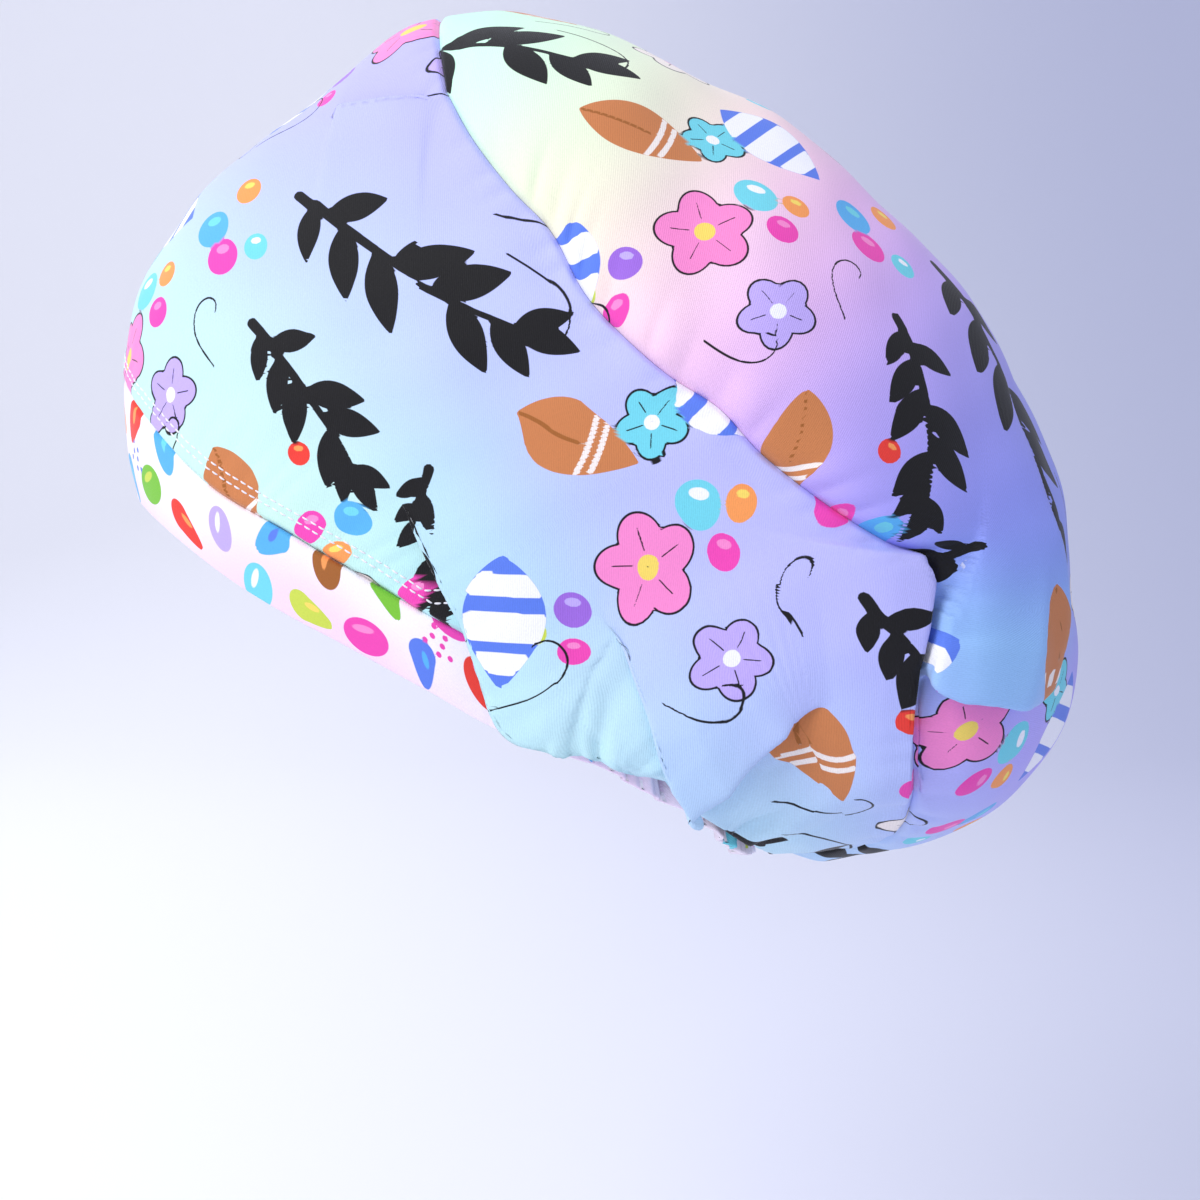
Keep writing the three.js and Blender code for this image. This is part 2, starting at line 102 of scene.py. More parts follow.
# Seam between the side band and the crown: x, y, z.
SEAM = np.array([
    (7.5, -51, 173.5), (15.5, -62, 160), (26, -71, 147), (36, -77, 137), (45.5, -83, 120), (56, -87, 109),
    (67, -89, 99.5), (80.5, -91, 91), (92, -93, 79), (110, -93, 65), (126, -91, 55), (137, -88, 50),
    (137, -89, 38), (135, -89, 21), (134.5, -83, -2), (136, -73, -19), (134, -56, -36), (124, -46, -43),
    (108, -42, -46), (94, -39, -46),
])

# Rise of the crown beside its seam: share of the seam's length, rise.
PUFF = np.array([(0, 1.5), (0.12, 4), (0.35, 6), (0.6, 5), (0.75, 3), (1, 1)])

# Folds: name, lift, reach, fade in, fade out, overlap, line. The cloth on the left of a line lies on top.
FOLDS = [
    ("front_pleat", 2.6, 22, 0.6, 0.05, 6.2,
     [(7, -54, 173.5), (2, -52, 173.5), (-7, -49, 171.5), (-16, -44, 170), (-26, -38, 168)]),
    ("temple_pleat", 4.5, 26, 0.5, 0.02, 8,
     [(-8, -80.5, 69), (-2.5, -82, 59.5), (6.5, -83.5, 47), (14.5, -84.5, 34.5), (20, -84.5, 25),
      (26, -83.5, 12), (32, -80, -6)]),
    ("lobe_crease", 3.4, 24, 0.35, 0.1, 6.4,
     [(45, -90, 42), (57, -90, 28.5), (64, -89, 16.5), (68.5, -87, 5), (71.5, -85, -0.5), (74, -81, -11)]),
    ("droop_fold", 6.5, 26, 0.08, 0.35, 7.5,
     [(73, -81, -11), (78.5, -83, -6), (87.5, -86, 0), (95.5, -88, 5), (102, -89.5, 9.5), (113, -90, 11.5)]),
    ("pocket_fold", 5.5, 30, 0.3, 0.02, 7,
     [(136, -70, -24), (136, -76, -16), (135, -84, -2), (134, -88, 12), (134.5, -90, 30), (136, -89.5, 42),
      (137, -88, 52)]),
    ("overhang_fold", 8.5, 30, 0.02, 0.3, 9,
     [(134.5, -89, 21), (140, -87, 18.5), (148, -83.5, 17), (154.5, -80, 15), (162.5, -74, 12),
      (177, -59, 7.5)]),
    ("back_crease", 3, 16, 0.3, 0.3, 4.5,
     [(177, -59, 7), (174, -64, 19), (175, -60.5, 32.5), (173.5, -61, 42.5), (170, -62.5, 57), (167, -57, 76),
      (161, -40, 104)]),
    ("right_temple_pleat", 4, 26, 0.02, 0.7, 6,
     [(32, 80, -7), (26, 83.5, 12), (19, 84.5, 27), (7, 83.5, 46), (-5, 81.5, 63)]),
    ("right_droop_fold", 5, 26, 0.35, 0.08, 6,
     [(114, 89, 15), (102, 89, 9), (90, 86, 1), (78, 82, -8), (72, 80, -15)]),
    ("right_pocket_fold", 3.5, 28, 0.05, 0.3, 5,
     [(137, 88, 50), (135, 89, 30), (134.5, 83, -2), (136, 72, -20)]),
]

# Folds along a seam, over which the print doesn't carry on.
SEAM_FOLDS = ("pocket_fold", "right_pocket_fold")

# Soft swellings: x, y, z, rise, radius.
SWELLS = np.array([
    (53, -80, -1, 3.5, 19), (110, -75, -24, 3, 26), (150, -70, -15, 3, 24), (66, -86, 106, 2, 12),
    (86, -92, 90, 2, 11), (53, 80, -1, 3, 19),
])


def unit(v):
    return v / np.maximum(np.linalg.norm(v, axis=-1, keepdims=True), 1e-12)


def dot(a, b):
    return np.sum(a * b, axis=-1)


def size_of(v):
    return np.linalg.norm(v, axis=-1)


def running(steps):
    """Sums of the steps so far, from 0."""
    return np.concatenate([[0.0], np.cumsum(steps)])


def ease(t):
    t = np.clip(t, 0, 1)
    return t * t * (3 - 2 * t)


def bell(x, reach):
    return np.exp(-(x / reach) ** 2)


def hump(x, reach):
    """Rises from 0 at an edge to 1 at reach and fades beyond it."""
    return x / reach * np.exp(1 - x / reach)


def cubic(a, b, c, d, t):
    """Catmull-Rom curve from b to c, between neighbours a and d."""
    return b + 0.5 * t * (c - a + t * (2 * a - 5 * b + 4 * c - d + t * (3 * (b - c) + d - a)))


def around_turn(values, degrees):
    """Smooth curve through evenly spaced values of a whole turn."""
    count = len(values)
    at = np.mod(degrees, 360.0) / (360.0 / count)
    i = np.floor(at).astype(int)
    return cubic(*(values[(i + k) % count] for k in (-1, 0, 1, 2)), at - i)


def along(rows, value):
    """Smooth curve through rows that rise in their first column."""
    xs, ys = rows[:, 0], rows[:, 1]
    last = len(xs) - 1
    k = np.arange(last + 1)
    lo, hi = np.maximum(k - 1, 0), np.minimum(k + 1, last)
    slopes = (ys[hi] - ys[lo]) / (xs[hi] - xs[lo])
    v = np.clip(value, xs[0], xs[-1])
    i = np.clip(np.searchsorted(xs, v) - 1, 0, last - 1)
    width = xs[i + 1] - xs[i]
    t = (v - xs[i]) / width
    p, q, m, n = ys[i], ys[i + 1], slopes[i] * width, slopes[i + 1] * width
    return p + t * (m + t * (3 * (q - p) - 2 * m - n + t * (2 * (p - q) + m + n)))


def through(points, count):
    """Centripetal Catmull-Rom curve through points, at count + 1 even steps."""
    pts = np.asarray(points, float)
    pts = np.vstack([2 * pts[0] - pts[1], pts, 2 * pts[-1] - pts[-2]])
    at = np.linspace(0, len(pts) - 3, count + 1)
    i = np.minimum(at.astype(int), len(pts) - 4)
    w = (at - i)[:, None]
    p0, p1, p2, p3 = pts[i], pts[i + 1], pts[i + 2], pts[i + 3]
    d0, d1, d2 = (np.sqrt(np.linalg.norm(b - a, axis=1))[:, None] for a, b in ((p0, p1), (p1, p2), (p2, p3)))
    t1 = d1 * ((p1 - p0) / d0 - (p2 - p0) / (d0 + d1) + (p2 - p1) / d1)
    t2 = d1 * ((p2 - p1) / d1 - (p3 - p1) / (d1 + d2) + (p3 - p2) / d2)
    return p1 + w * (t1 + w * (3 * (p2 - p1) - 2 * t1 - t2 + w * (2 * (p1 - p2) + t1 + t2)))


def slerp(a, b, t):
    t = np.asarray(t)[..., None]
    angle = np.arccos(np.clip(dot(a, b), -1, 1))[..., None]
    s = np.maximum(np.sin(angle), 1e-9)
    out = (np.sin((1 - t) * angle) * a + np.sin(t * angle) * b) / s
    return np.where(angle < 1e-5, a + (b - a) * t, out)


def mirrored(v):
    return v * np.array([1.0, -1.0, 1.0])


def width_at(x):
    return along(WIDTHS, x)


def body_point(d):
    """Point of the smooth body in a direction from its centre, with Y counted before WIDTHS."""
    angle = np.degrees(np.arctan2(d[..., 2], d[..., 0]))
    power = around_turn(SQUARENESS, angle)
    flat = np.hypot(d[..., 0], d[..., 2]) / around_turn(OUTLINE, angle)
    r = (flat ** power + (np.abs(d[..., 1]) / HALF_WIDTH) ** power) ** (-1 / power)
    x = CENTRE_X + r * d[..., 0]
    return np.stack([x, r * d[..., 1] * width_at(x), CENTRE_Z + r * d[..., 2]], -1)


def direction_to(p):
    return unit(np.stack([p[..., 0] - CENTRE_X, p[..., 1] / width_at(p[..., 0]), p[..., 2] - CENTRE_Z], -1))


def body_normal(d):
    helper = np.where(np.abs(d[..., 1:2]) < 0.9, np.array([0.0, 1.0, 0.0]), np.array([1.0, 0.0, 0.0]))
    a = unit(np.cross(helper, d))
    b = np.cross(d, a)
    step = 0.02
    across = body_point(unit(d + a * step)) - body_point(unit(d - a * step))
    up = body_point(unit(d + b * step)) - body_point(unit(d - b * step))
    return unit(np.cross(across, up))


def level(p):
    """How far out a point lies, 1 on the body."""
    dx, dz = p[..., 0] - CENTRE_X, p[..., 2] - CENTRE_Z
    angle = np.degrees(np.arctan2(dz, dx))
    power = around_turn(SQUARENESS, angle)
    return ((np.hypot(dx, dz) / around_turn(OUTLINE, angle)) ** power
            + (np.abs(p[..., 1]) / (HALF_WIDTH * width_at(p[..., 0]))) ** power)


def rim_point(rows, turn):
    """Where a rim line meets the body, at a turn about the opening: 0 at the brow, 90 on the left."""
    turn = np.radians(turn)
    near, far = np.full(turn.shape, 20.0), np.full(turn.shape, 260.0)

    def at(r):
        x = -r * np.cos(turn)
        return np.stack([x, -r * np.sin(turn), along(rows, x)], -1)

    for _ in range(40):
        mid = (near + far) / 2
        inside = level(at(mid)) < 1
        near, far = np.where(inside, mid, near), np.where(inside, far, mid)
    return at(near)


def past_change(turn):
    """0 along the brow, 1 where the elastic stands upright."""
    return ease((np.abs(turn) - BAND_CHANGE_TURN) / BAND_CHANGE_RUN)[..., None]


def band_top(turn):
    """Top of the rim bands: on the body at the brow, upright and tucked in under the bag at the nape."""
    on_body = rim_point(BAND_SEAM, turn)
    foot = rim_point(RIM, turn)
    inward = unit(foot * np.array([-1.0, -1.0, 0.0]))
    upright = foot + inward * NAPE_BAND_TUCK + np.array([0.0, 0.0, NAPE_BAND_HEIGHT])
    return on_body + (upright - on_body) * past_change(turn)


class Path:
    """Evenly spaced path of directions with its length over the body."""

    def __init__(self, directions):
        self.directions = directions
        self.lengths = running(size_of(np.diff(body_point(directions), axis=0)))
        self.total = self.lengths[-1]

    def at(self, share):
        target = np.clip(share, 0, 1) * self.total
        i = np.clip(np.searchsorted(self.lengths, target) - 1, 0, len(self.lengths) - 2)
        t = (target - self.lengths[i]) / (self.lengths[i + 1] - self.lengths[i])
        return slerp(self.directions[i], self.directions[i + 1], t)


RIM_TURNS = np.arange(0.0, 181.0)
RIM_TOPS = band_top(RIM_TURNS)
RIM_STARTS = body_point(direction_to(RIM_TOPS))
RIM_TUCKS = RIM_TOPS - RIM_STARTS
RIM_LENGTHS = running(size_of(np.diff(RIM_STARTS, axis=0)))


def nearest_on(line, points):
    """Nearest place on a line of points: distance, index, share of the step, offset and smooth run."""
    best = np.full(len(points), np.inf)
    index = np.zeros(len(points), int)
    part = np.zeros(len(points))
    for i in range(len(line) - 1):
        run = line[i + 1] - line[i]
        t = np.clip((points - line[i]) @ run / (run @ run), 0, 1)
        gap = points - (line[i] + t[:, None] * run)
        away = dot(gap, gap)
        closer = away < best
        best[closer], index[closer], part[closer] = away[closer], i, t[closer]
    run = line[index + 1] - line[index]
    offset = points - (line[index] + part[:, None] * run)
    heading = unit(np.gradient(line, axis=0))
    smooth = heading[index] * (1 - part[:, None]) + heading[index + 1] * part[:, None]
    return np.sqrt(best), index, part, offset, smooth


def rim_of(points):
    """What body points have to do with the rim bands: distance, turn, length along them and tuck."""
    left = points * np.array([1.0, 0.0, 1.0]) - np.abs(points) * np.array([0.0, 1.0, 0.0])
    away, i, t, _, _ = nearest_on(RIM_STARTS, left)
    tuck = RIM_TUCKS[i] + t[:, None] * (RIM_TUCKS[i + 1] - RIM_TUCKS[i])
    tuck[:, 1] = np.where(points[:, 1] > 0, -tuck[:, 1], tuck[:, 1])
    return away, RIM_TURNS[i] + t, RIM_LENGTHS[i] + t * (RIM_LENGTHS[i + 1] - RIM_LENGTHS[i]), tuck


SEAM_SIDE = Path(direction_to(through(np.vstack([SEAM, band_top(np.array([NAPE_JOIN_TURN]))]), 160)))
MIDDLE_ANGLES = np.radians(np.linspace(CROWN_FRONT_ANGLE, CROWN_NAPE_ANGLE, 161))
CROWN_MIDDLE = Path(np.stack([np.cos(MIDDLE_ANGLES), 0 * MIDDLE_ANGLES, np.sin(MIDDLE_ANGLES)], -1))


def crown_direction(across, down):
    """Direction on the crown: across from -1, right, to 1, left, and down from 0, front, to 1, nape."""
    left = SEAM_SIDE.at(down)
    middle = CROWN_MIDDLE.at(down)
    own = np.degrees(np.arctan2(left[..., 2], left[..., 0]))
    mid = np.degrees(np.arctan2(middle[..., 2], middle[..., 0]))
    turned = np.radians(np.mod(own - mid + 540, 360) - 180) * (1 - across ** 2)
    arc = slerp(mirrored(left), left, (across + 1) / 2)
    c, s = np.cos(turned), np.sin(turned)
    arc = np.stack([c * arc[..., 0] + s * arc[..., 2], arc[..., 1], -s * arc[..., 0] + c * arc[..., 2]], -1)
    join = SEAM_SIDE.at(np.ones_like(down))
    foot = direction_to(band_top(180 - (180 - NAPE_JOIN_TURN) * np.abs(across)))
    foot = np.where(across[..., None] > 0, foot, mirrored(foot))
    change = foot - slerp(mirrored(join), join, (across + 1) / 2)
    return unit(arc + change * ease((down - 0.8) / 0.2)[..., None])


FRONT_HALF = crown_direction(np.linspace(0, 1, 21), np.zeros(21))
UPPER_PATH = Path(np.vstack([FRONT_HALF, SEAM_SIDE.at(np.linspace(0, 1, 161)[1:])]))
LOWER_TURNS = np.linspace(0, NAPE_JOIN_TURN, 161)
LOWER_PATH = Path(direction_to(band_top(LOWER_TURNS)))


def turn_at(share):
    """Turn about the opening at a share of the lower path's length."""
    return np.interp(share * LOWER_PATH.total, LOWER_PATH.lengths, LOWER_TURNS)


def waves(points, size, seed, count=7):
    """Soft noise between about -1 and 1: a sum of plane waves of about one size, in a fixed order."""
    rng = np.random.default_rng(seed)
    total = np.zeros(points.shape[:-1])
    for _ in range(count):
        way = unit(rng.normal(size=points.shape[-1]))
        scale = size * rng.uniform(0.75, 1.5)
        total += np.sin(2 * np.pi * (points @ way) / scale + rng.uniform(0, 2 * np.pi))
    return total / np.sqrt(count)


def ripple(length, wave, seed):
    """Uneven gathers along a length: round ridges with narrow valleys between them."""
    line = np.stack([length, 0 * length], -1)
    phase = length / wave + 0.30 * waves(line, 47, seed) + 0.16 * waves(line, 19, seed + 1)
    return 2 * np.abs(np.cos(np.pi * phase)) - 1.15


FOLD_LINES = [body_point(direction_to(through(row[6], 40))) for row in FOLDS]


def folded(points, normals, edge, spread):
    """Height, sideways move and take-up of the folds: each is an S of cloth that lies over itself."""
    height = np.zeros(len(points))
    move = np.zeros(points.shape)
    take = np.zeros(points.shape)
    for (name, lift, reach, fade_in, fade_out, overlap, _), line in zip(FOLDS, FOLD_LINES):
        room = 3 * max(reach, 24)
        here = np.all((points > line.min(axis=0) - room) & (points < line.max(axis=0) + room), axis=1)
        away, i, t, offset, run = nearest_on(line, points[here])
        near = away < room
        across = unit(np.cross(normals[here], run))
        side = dot(offset, across)
        share = (i + t) / (len(line) - 1)
        strength = ease(share / fade_in) * ease((1 - share) / fade_out)
        beyond = np.sqrt(np.maximum(away ** 2 - side ** 2, 0))

        # The print jumps by what the fold hides, in the part that runs back, and is made up for beside it.
        lasting = ease((share + 0.1) / (fade_in + 0.1)) * ease((1.1 - share) / (fade_out + 0.1))
        pull = np.maximum(overlap * np.sqrt(lasting), 1e-3)
        back = FOLD_WIDTH / np.pi * np.arccos(np.clip(FOLD_WIDTH / (np.pi * pull), 0, 1))
        hidden = 4 * np.maximum(pull * np.sin(np.pi * back / FOLD_WIDTH) - back, 0)
        hidden = np.minimum(hidden, LARGEST_JUMP) * bell(beyond, 30) * near * (name not in SEAM_FOLDS)
        back = np.maximum(back, 0.8) + 0.8 * beyond
        jump = 0.5 * hidden * (2 * ease((side / back + 1) / 2) - 1)
        take[here] += across * (jump * bell(np.maximum(np.abs(side) - back, 0), spread))[:, None]

        # The upper cloth is lifted, the lower one sinks a little, and both slide one under the other.
        strength = strength * bell(beyond, 8) * near
        top = lift * bell(np.maximum(side, 0), reach)
        below = -0.3 * lift * bell(side, 8)
        height[here] += strength * (below + (top - below) * ease((side + edge) / (2 * edge)))
        slide = np.where(np.abs(side) < FOLD_WIDTH, overlap * np.sin(np.pi * side / FOLD_WIDTH), 0)
        move[here] -= across * (slide * np.sqrt(strength))[:, None]
    for x, y, z, rise, radius in SWELLS:
        gap = points - np.array([x, y, z])
        height += rise * np.exp(-dot(gap, gap) / radius ** 2)
    return height, move, take


def elastic_facing(turn, point, normal):
    """Facing of the bands: the body's own, and level where the elastic stands upright."""
    flat = unit(point * np.array([1.0, 1.0, 0.0]))
    return unit(normal + (flat - normal) * past_change(turn))


def gathers(turn, length, above, second, depth):
    """Uneven gathers that the elastic draws up, at a distance above the bands, in one of two patterns."""
    strength = ease((np.abs(turn) - 100) / 14)
    strong = ease((np.abs(turn) - 114) / 12)
    big = np.where(second, ripple(length, 13.5, 31), ripple(length, 12.5, 11))
    small = np.where(second, ripple(length, 6.1, 35), ripple(length, 5.7, 15))
    line = np.stack([length, np.where(second, 440.0, -360.0)], -1)
    reach = 17 + 6 * waves(line, 30, 5)
    low = 0.6 * strength * small * bell(above, 8)
    return depth * (1.5 * strong * big * bell(above, reach) + low)


def cloth_points(directions, puff, settings, edge_room):
    """Points of the cloth in some directions; edge_room is the distance from the panel's seam.

    Gives the points, normals, places before folding, moves, take-up, and distance and turn of the bands.
    """
    shape = directions.shape
    d = directions.reshape(-1, 3)
    body = body_point(d)
    away, turn, length, tuck = rim_of(body)
    open_normal = body_normal(d)
    normal = elastic_facing(turn, body, open_normal)
    normal = unit(normal + (open_normal - normal) * ease(away / 14)[:, None])
    base = body + tuck * (1 - ease(away / BLOUSE_REACH))[:, None]
    height, move, take = folded(base, normal, settings.fold_edge / MM, settings.take_up / MM)
    calm = ease(away / BAND_CALM)
    room = ease(edge_room.reshape(-1) / SEAM_CALM)
    height = height * calm + gathers(turn, length, away, d[:, 1] > 0, settings.gather_depth / MM)
    height += puff.reshape(-1)
    height += settings.slack / MM * room * (0.7 * waves(base, 62, 3) + 0.3 * waves(base, 27, 4))
    move = move * (calm * room)[:, None]
    take = take * ease(edge_room.reshape(-1) / PRINT_CALM)[:, None]
    point = base + normal * height[:, None] + move
    vectors = [a.reshape(shape) for a in (point, normal, base, move, take)]
    return vectors + [away.reshape(shape[:-1]), turn.reshape(shape[:-1])]


# How far the gathered cloth hangs down over the elastic: turn, drop.
DROOP = np.array([
    (98, 0), (103, 8), (108, 17), (112, 20), (117, 17), (122, 17), (127, 15.5), (133, 17.5), (140, 16.5),
    (150, 11), (160, 7), (182, 6),
])

# Rows beside a seam: distance from it along the cloth, depth below the face. The first turn into the cap.
SEAM_ROWS = np.array([
    (0, 3.6), (0, 2.4), (0, 1.3), (0.35, 1.12), (0.8, 0.59), (1.4, 0.12), (2.2, 0), (3.2, 0), (4.5, 0),
    (5.5, 0), (6.5, 0), (8, 0),
])


def strip_rows(height, middle):
    """Distances from the low edge, and depths, of the rows across strips of some heights."""
    height = np.asarray(height)[..., None]
    edge, depth = SEAM_ROWS[:, 0], SEAM_ROWS[:, 1]
    squeeze = np.minimum(1, height / FULL_STRIP)
    low = edge * squeeze
    inner = np.linspace(0, 1, middle + 2)[1:-1]
    mid = edge[-1] * squeeze + inner * (height - 2 * edge[-1] * squeeze)
    rows = np.concatenate([low, mid, height - low[..., ::-1]], -1)
    depths = np.concatenate([depth, np.zeros(middle), depth[::-1]])
    return rows, np.broadcast_to(depths, rows.shape)


def drop_over_elastic(normal, away, turn, amount):
    """Moves that let the gathered cloth hang over the bands and roll back up."""
    reach = 8 - 2.5 * ease((np.abs(turn) - 128) / 12)
    drop = along(DROOP, np.abs(turn)) * hump(away, reach) * amount
    outward = unit(normal * np.array([1.0, 1.0, 0.2]))
    return np.stack([0 * drop, 0 * drop, -drop], -1) + outward * (0.28 * drop)[..., None]


def side_cloth(share, rise, settings):
    """Side band at a share of its length, -1 to 1, and a distance above the bands.

    Gives the points, normals, places before folding, moves and take-up.
    """
    near = np.abs(share)
    start = direction_to(band_top(turn_at(near)))
    finish = UPPER_PATH.at(near)
    height = strip_height(start, finish)
    inset = EDGE_INSET / height
    up = rise / height
    direction = slerp(start, finish, inset + up * (1 - 2 * inset))
    direction = np.where(share[..., None] < 0, mirrored(direction), direction)
    from_top = height - rise
    lift = 0.45 * ease((8.6 - rise) / 1.2) * ease(rise / 1.5)
    lift -= sum(0.3 * bell(rise - row, 0.55) for row in STITCH_RISES)
    pucker = 0.28 * ripple(share * UPPER_PATH.total, 10.5, 51) * hump(from_top, 2.6)
    pucker += 0.16 * ripple(share * LOWER_PATH.total, 7.5, 53) * hump(rise, 7)
    point, normal, base, move, take, away, turn = cloth_points(direction, lift + pucker, settings, from_top)
    hang = drop_over_elastic(normal, away, turn, np.where(share < 0, 0.8, 1.0) * ease(from_top / 25))
    return point + hang, normal, base, move + hang, take


def strip_height(start, finish):
    """Length of the body between two directions."""
    steps = [body_point(slerp(start, finish, np.full(start.shape[:-1], t))) for t in np.linspace(0, 1, 9)]
    return np.maximum(sum(size_of(b - a) for a, b in zip(steps[:-1], steps[1:])), 1.0)


def side_grid(near_columns, far_columns, middle):
    """Shares, rises and depths of the side panel's grid: far columns on the right, near ones on the left."""
    far, near = np.linspace(-SIDE_END, 0, far_columns), np.linspace(0, SIDE_END, near_columns)
    share = np.concatenate([far[:-1], near])
    near = np.abs(share)
    height = strip_height(direction_to(band_top(turn_at(near))), UPPER_PATH.at(near))
    rise, depth = strip_rows(height, middle)
    share = np.broadcast_to(share[:, None], rise.shape)
    return share, rise, depth


def crown_cloth(across, down, settings):
    """Crown at a place across, -1 to 1, and down, 0 to 1: the same five as side_cloth."""
    edge = body_point(SEAM_SIDE.at(down))
    half_span = np.maximum(size_of(edge - body_point(crown_direction(0 * across, down))), 1.0)
    side = across * (1 - EDGE_INSET / half_span)
    inset = EDGE_INSET / SEAM_SIDE.total
    t = np.clip(down, inset, 1 - inset)
    from_seam = (1 - np.abs(side)) * half_span
    from_front = t * SEAM_SIDE.total
    puff = along(PUFF, t) * hump(from_seam, PUFF_REACH) * ease(from_front / PUFF_REACH)
    run = from_front * np.where(across < 0, -1, 1)
    puff += 0.55 * ripple(run, 11.5, 71) * hump(from_seam, 3.4) * ease(t / 0.12)
    room = np.minimum(from_seam, from_front)
    point, normal, base, move, take, away, turn = cloth_points(crown_direction(side, t), puff, settings, room)
    hang = drop_over_elastic(normal, away, turn, ease(from_seam / 12))
    return point + hang, normal, base, move + hang, take


def crown_grid(rows, columns):
    """Places across and down, and depths, of the crown's grid."""
    along_seam, depth_a = strip_rows(np.array(SEAM_SIDE.total), rows)
    down = along_seam / SEAM_SIDE.total
    edge = body_point(SEAM_SIDE.at(down))
    half_span = size_of(edge - body_point(crown_direction(0 * down, down)))
    across_mm, depth_b = strip_rows(2 * half_span, columns)
    across = 1 - across_mm / half_span[:, None]
    down = np.broadcast_to(down[:, None], across.shape)
    depth = np.maximum(depth_a[:, None], depth_b)
    return across, down, depth


def band_cloth(turn, height, settings, hem, roll):
    """Points and facings of a rim band at a turn and a run up its section: inside hem, rolled edge, face."""
    near = np.abs(turn)
    foot, top = rim_point(RIM, near), band_top(near)
    finish = direction_to(top)
    tall = size_of(top - foot)
    bend = np.pi * roll
    run = height - hem - bend
    face = np.clip(run + roll, roll, tall)
    inside = np.clip(-(run + bend) + roll, roll, None)
    rise = np.where(run > 0, face, np.where(run < -bend, inside, roll))
    t = rise / tall
    base = body_point(slerp(direction_to(foot), finish, np.clip(t, 0, 1) * (1 - EDGE_INSET / tall)))
    base = base + (top - body_point(finish)) * t[..., None]
    way = elastic_facing(near, base, body_normal(direction_to(base)))
    up = unit(top - foot)
    angle = np.clip(-run / roll, 0, np.pi)
    inward = np.where(run > 0, 0, np.where(run < -bend, 2 * roll, roll * (1 - np.cos(angle))))
    below = np.where((run <= 0) & (run >= -bend), roll * np.sin(angle), 0)
    length = np.interp(near, RIM_TURNS, RIM_LENGTHS)
    wave = gathers(near, length, 0 * near, turn > 0, settings.gather_depth / MM)
    wave += 0.12 * waves(base, 16, 8) + 0.25 * waves(base, 45, 9)
    point = base + way * (wave - inward)[..., None] - up * below[..., None]
    return [np.where(turn[..., None] < 0, mirrored(v), v) for v in (point, way)]


def flatten(points):
    """Flat layout of a grid of points that keeps its small shapes, by turning its triangles into place."""
    rows, columns = points.shape[:2]
    ident = np.arange(rows * columns).reshape(rows, columns)
    a, b, c, d = ident[:-1, :-1].ravel(), ident[1:, :-1].ravel(), ident[1:, 1:].ravel(), ident[:-1, 1:].ravel()
    triangles = np.concatenate([np.stack([a, b, c], -1), np.stack([a, c, d], -1)])
    p = points.reshape(-1, 3)
    e1, e2 = p[triangles[:, 1]] - p[triangles[:, 0]], p[triangles[:, 2]] - p[triangles[:, 0]]
    x1 = size_of(e1)
    x2 = dot(e2, e1) / np.maximum(x1, 1e-9)
    y2 = np.sqrt(np.maximum(dot(e2, e2) - x2 ** 2, 1e-9))
    rest = np.stack([0 * x1, 0 * x1, x1, 0 * x1, x2, y2], -1).reshape(-1, 3, 2)
    count = len(p)
    matrix = np.zeros((count, count))
    sides = []
    for k in range(3):
        u, v = rest[:, k] - rest[:, (k + 2) % 3], rest[:, (k + 1) % 3] - rest[:, (k + 2) % 3]
        cross = np.abs(u[:, 0] * v[:, 1] - u[:, 1] * v[:, 0])
        weight = np.clip(dot(u, v) / np.maximum(cross, 1e-9), 0.05, 5) / 2
        i, j = triangles[:, k], triangles[:, (k + 1) % 3]
        sides.append((i, j, rest[:, (k + 1) % 3] - rest[:, k], weight[:, None]))
        for at, share in (((i, j), -weight), ((j, i), -weight), ((i, i), weight), ((j, j), weight)):
            np.add.at(matrix, at, share)
    anchor = ident[rows // 2, columns // 2]
    matrix[anchor, anchor] += 1
    inverse = np.linalg.inv(matrix)
    u = running(size_of(np.diff(points, axis=0)).mean(axis=1))
    v = np.concatenate([np.zeros((rows, 1)), np.cumsum(size_of(np.diff(points, axis=1)), axis=1)], 1)
    v = v - v[:, -1:] / 2
    flat = np.stack([np.broadcast_to(u[:, None], v.shape), v], -1).reshape(-1, 2)
    for _ in range(60):
        spin = sum((weight * edge)[:, :, None] * (flat[j] - flat[i])[:, None, :]
                   for i, j, edge, weight in sides)
        angle = np.arctan2(spin[:, 0, 1] - spin[:, 1, 0], spin[:, 0, 0] + spin[:, 1, 1])
        c, s = np.cos(angle), np.sin(angle)
        goal = np.zeros((count, 2))
        for i, j, edge, weight in sides:
            wanted = np.stack([c * edge[:, 0] - s * edge[:, 1], s * edge[:, 0] + c * edge[:, 1]], -1) * weight
            np.add.at(goal, j, wanted)
            np.add.at(goal, i, -wanted)
        flat = inverse @ goal
    return flat.reshape(rows, columns, 2)


def resample(coarse, at_rows, at_columns):
    """Values of a coarse grid at row and column numbers, by smooth curves through its points."""
    def along_first(grid, at):
        grid = np.concatenate([2 * grid[:1] - grid[1:2], grid, 2 * grid[-1:] - grid[-2:-1]])
        i = np.clip(at.astype(int), 0, len(grid) - 4)
        return cubic(grid[i], grid[i + 1], grid[i + 2], grid[i + 3], (at - i)[:, None, None])

    rows = along_first(coarse, at_rows)
    return along_first(rows.swapaxes(0, 1), at_columns).swapaxes(0, 1)


def carrying(flat, base):
    """For each point of a grid, the two rows that turn a move over the surface into a move of the print."""
    a, b = np.gradient(base, axis=0), np.gradient(base, axis=1)
    fa, fb = np.gradient(flat, axis=0), np.gradient(flat, axis=1)
    aa, ab, bb = dot(a, a)[..., None], dot(a, b)[..., None], dot(b, b)[..., None]
    det = np.maximum(aa * bb - ab * ab, 1e-6)
    da, db = (a * bb - b * ab) / det, (b * aa - a * ab) / det
    return np.concatenate([fa[..., k:k + 1] * da + fb[..., k:k + 1] * db for k in (0, 1)], -1)


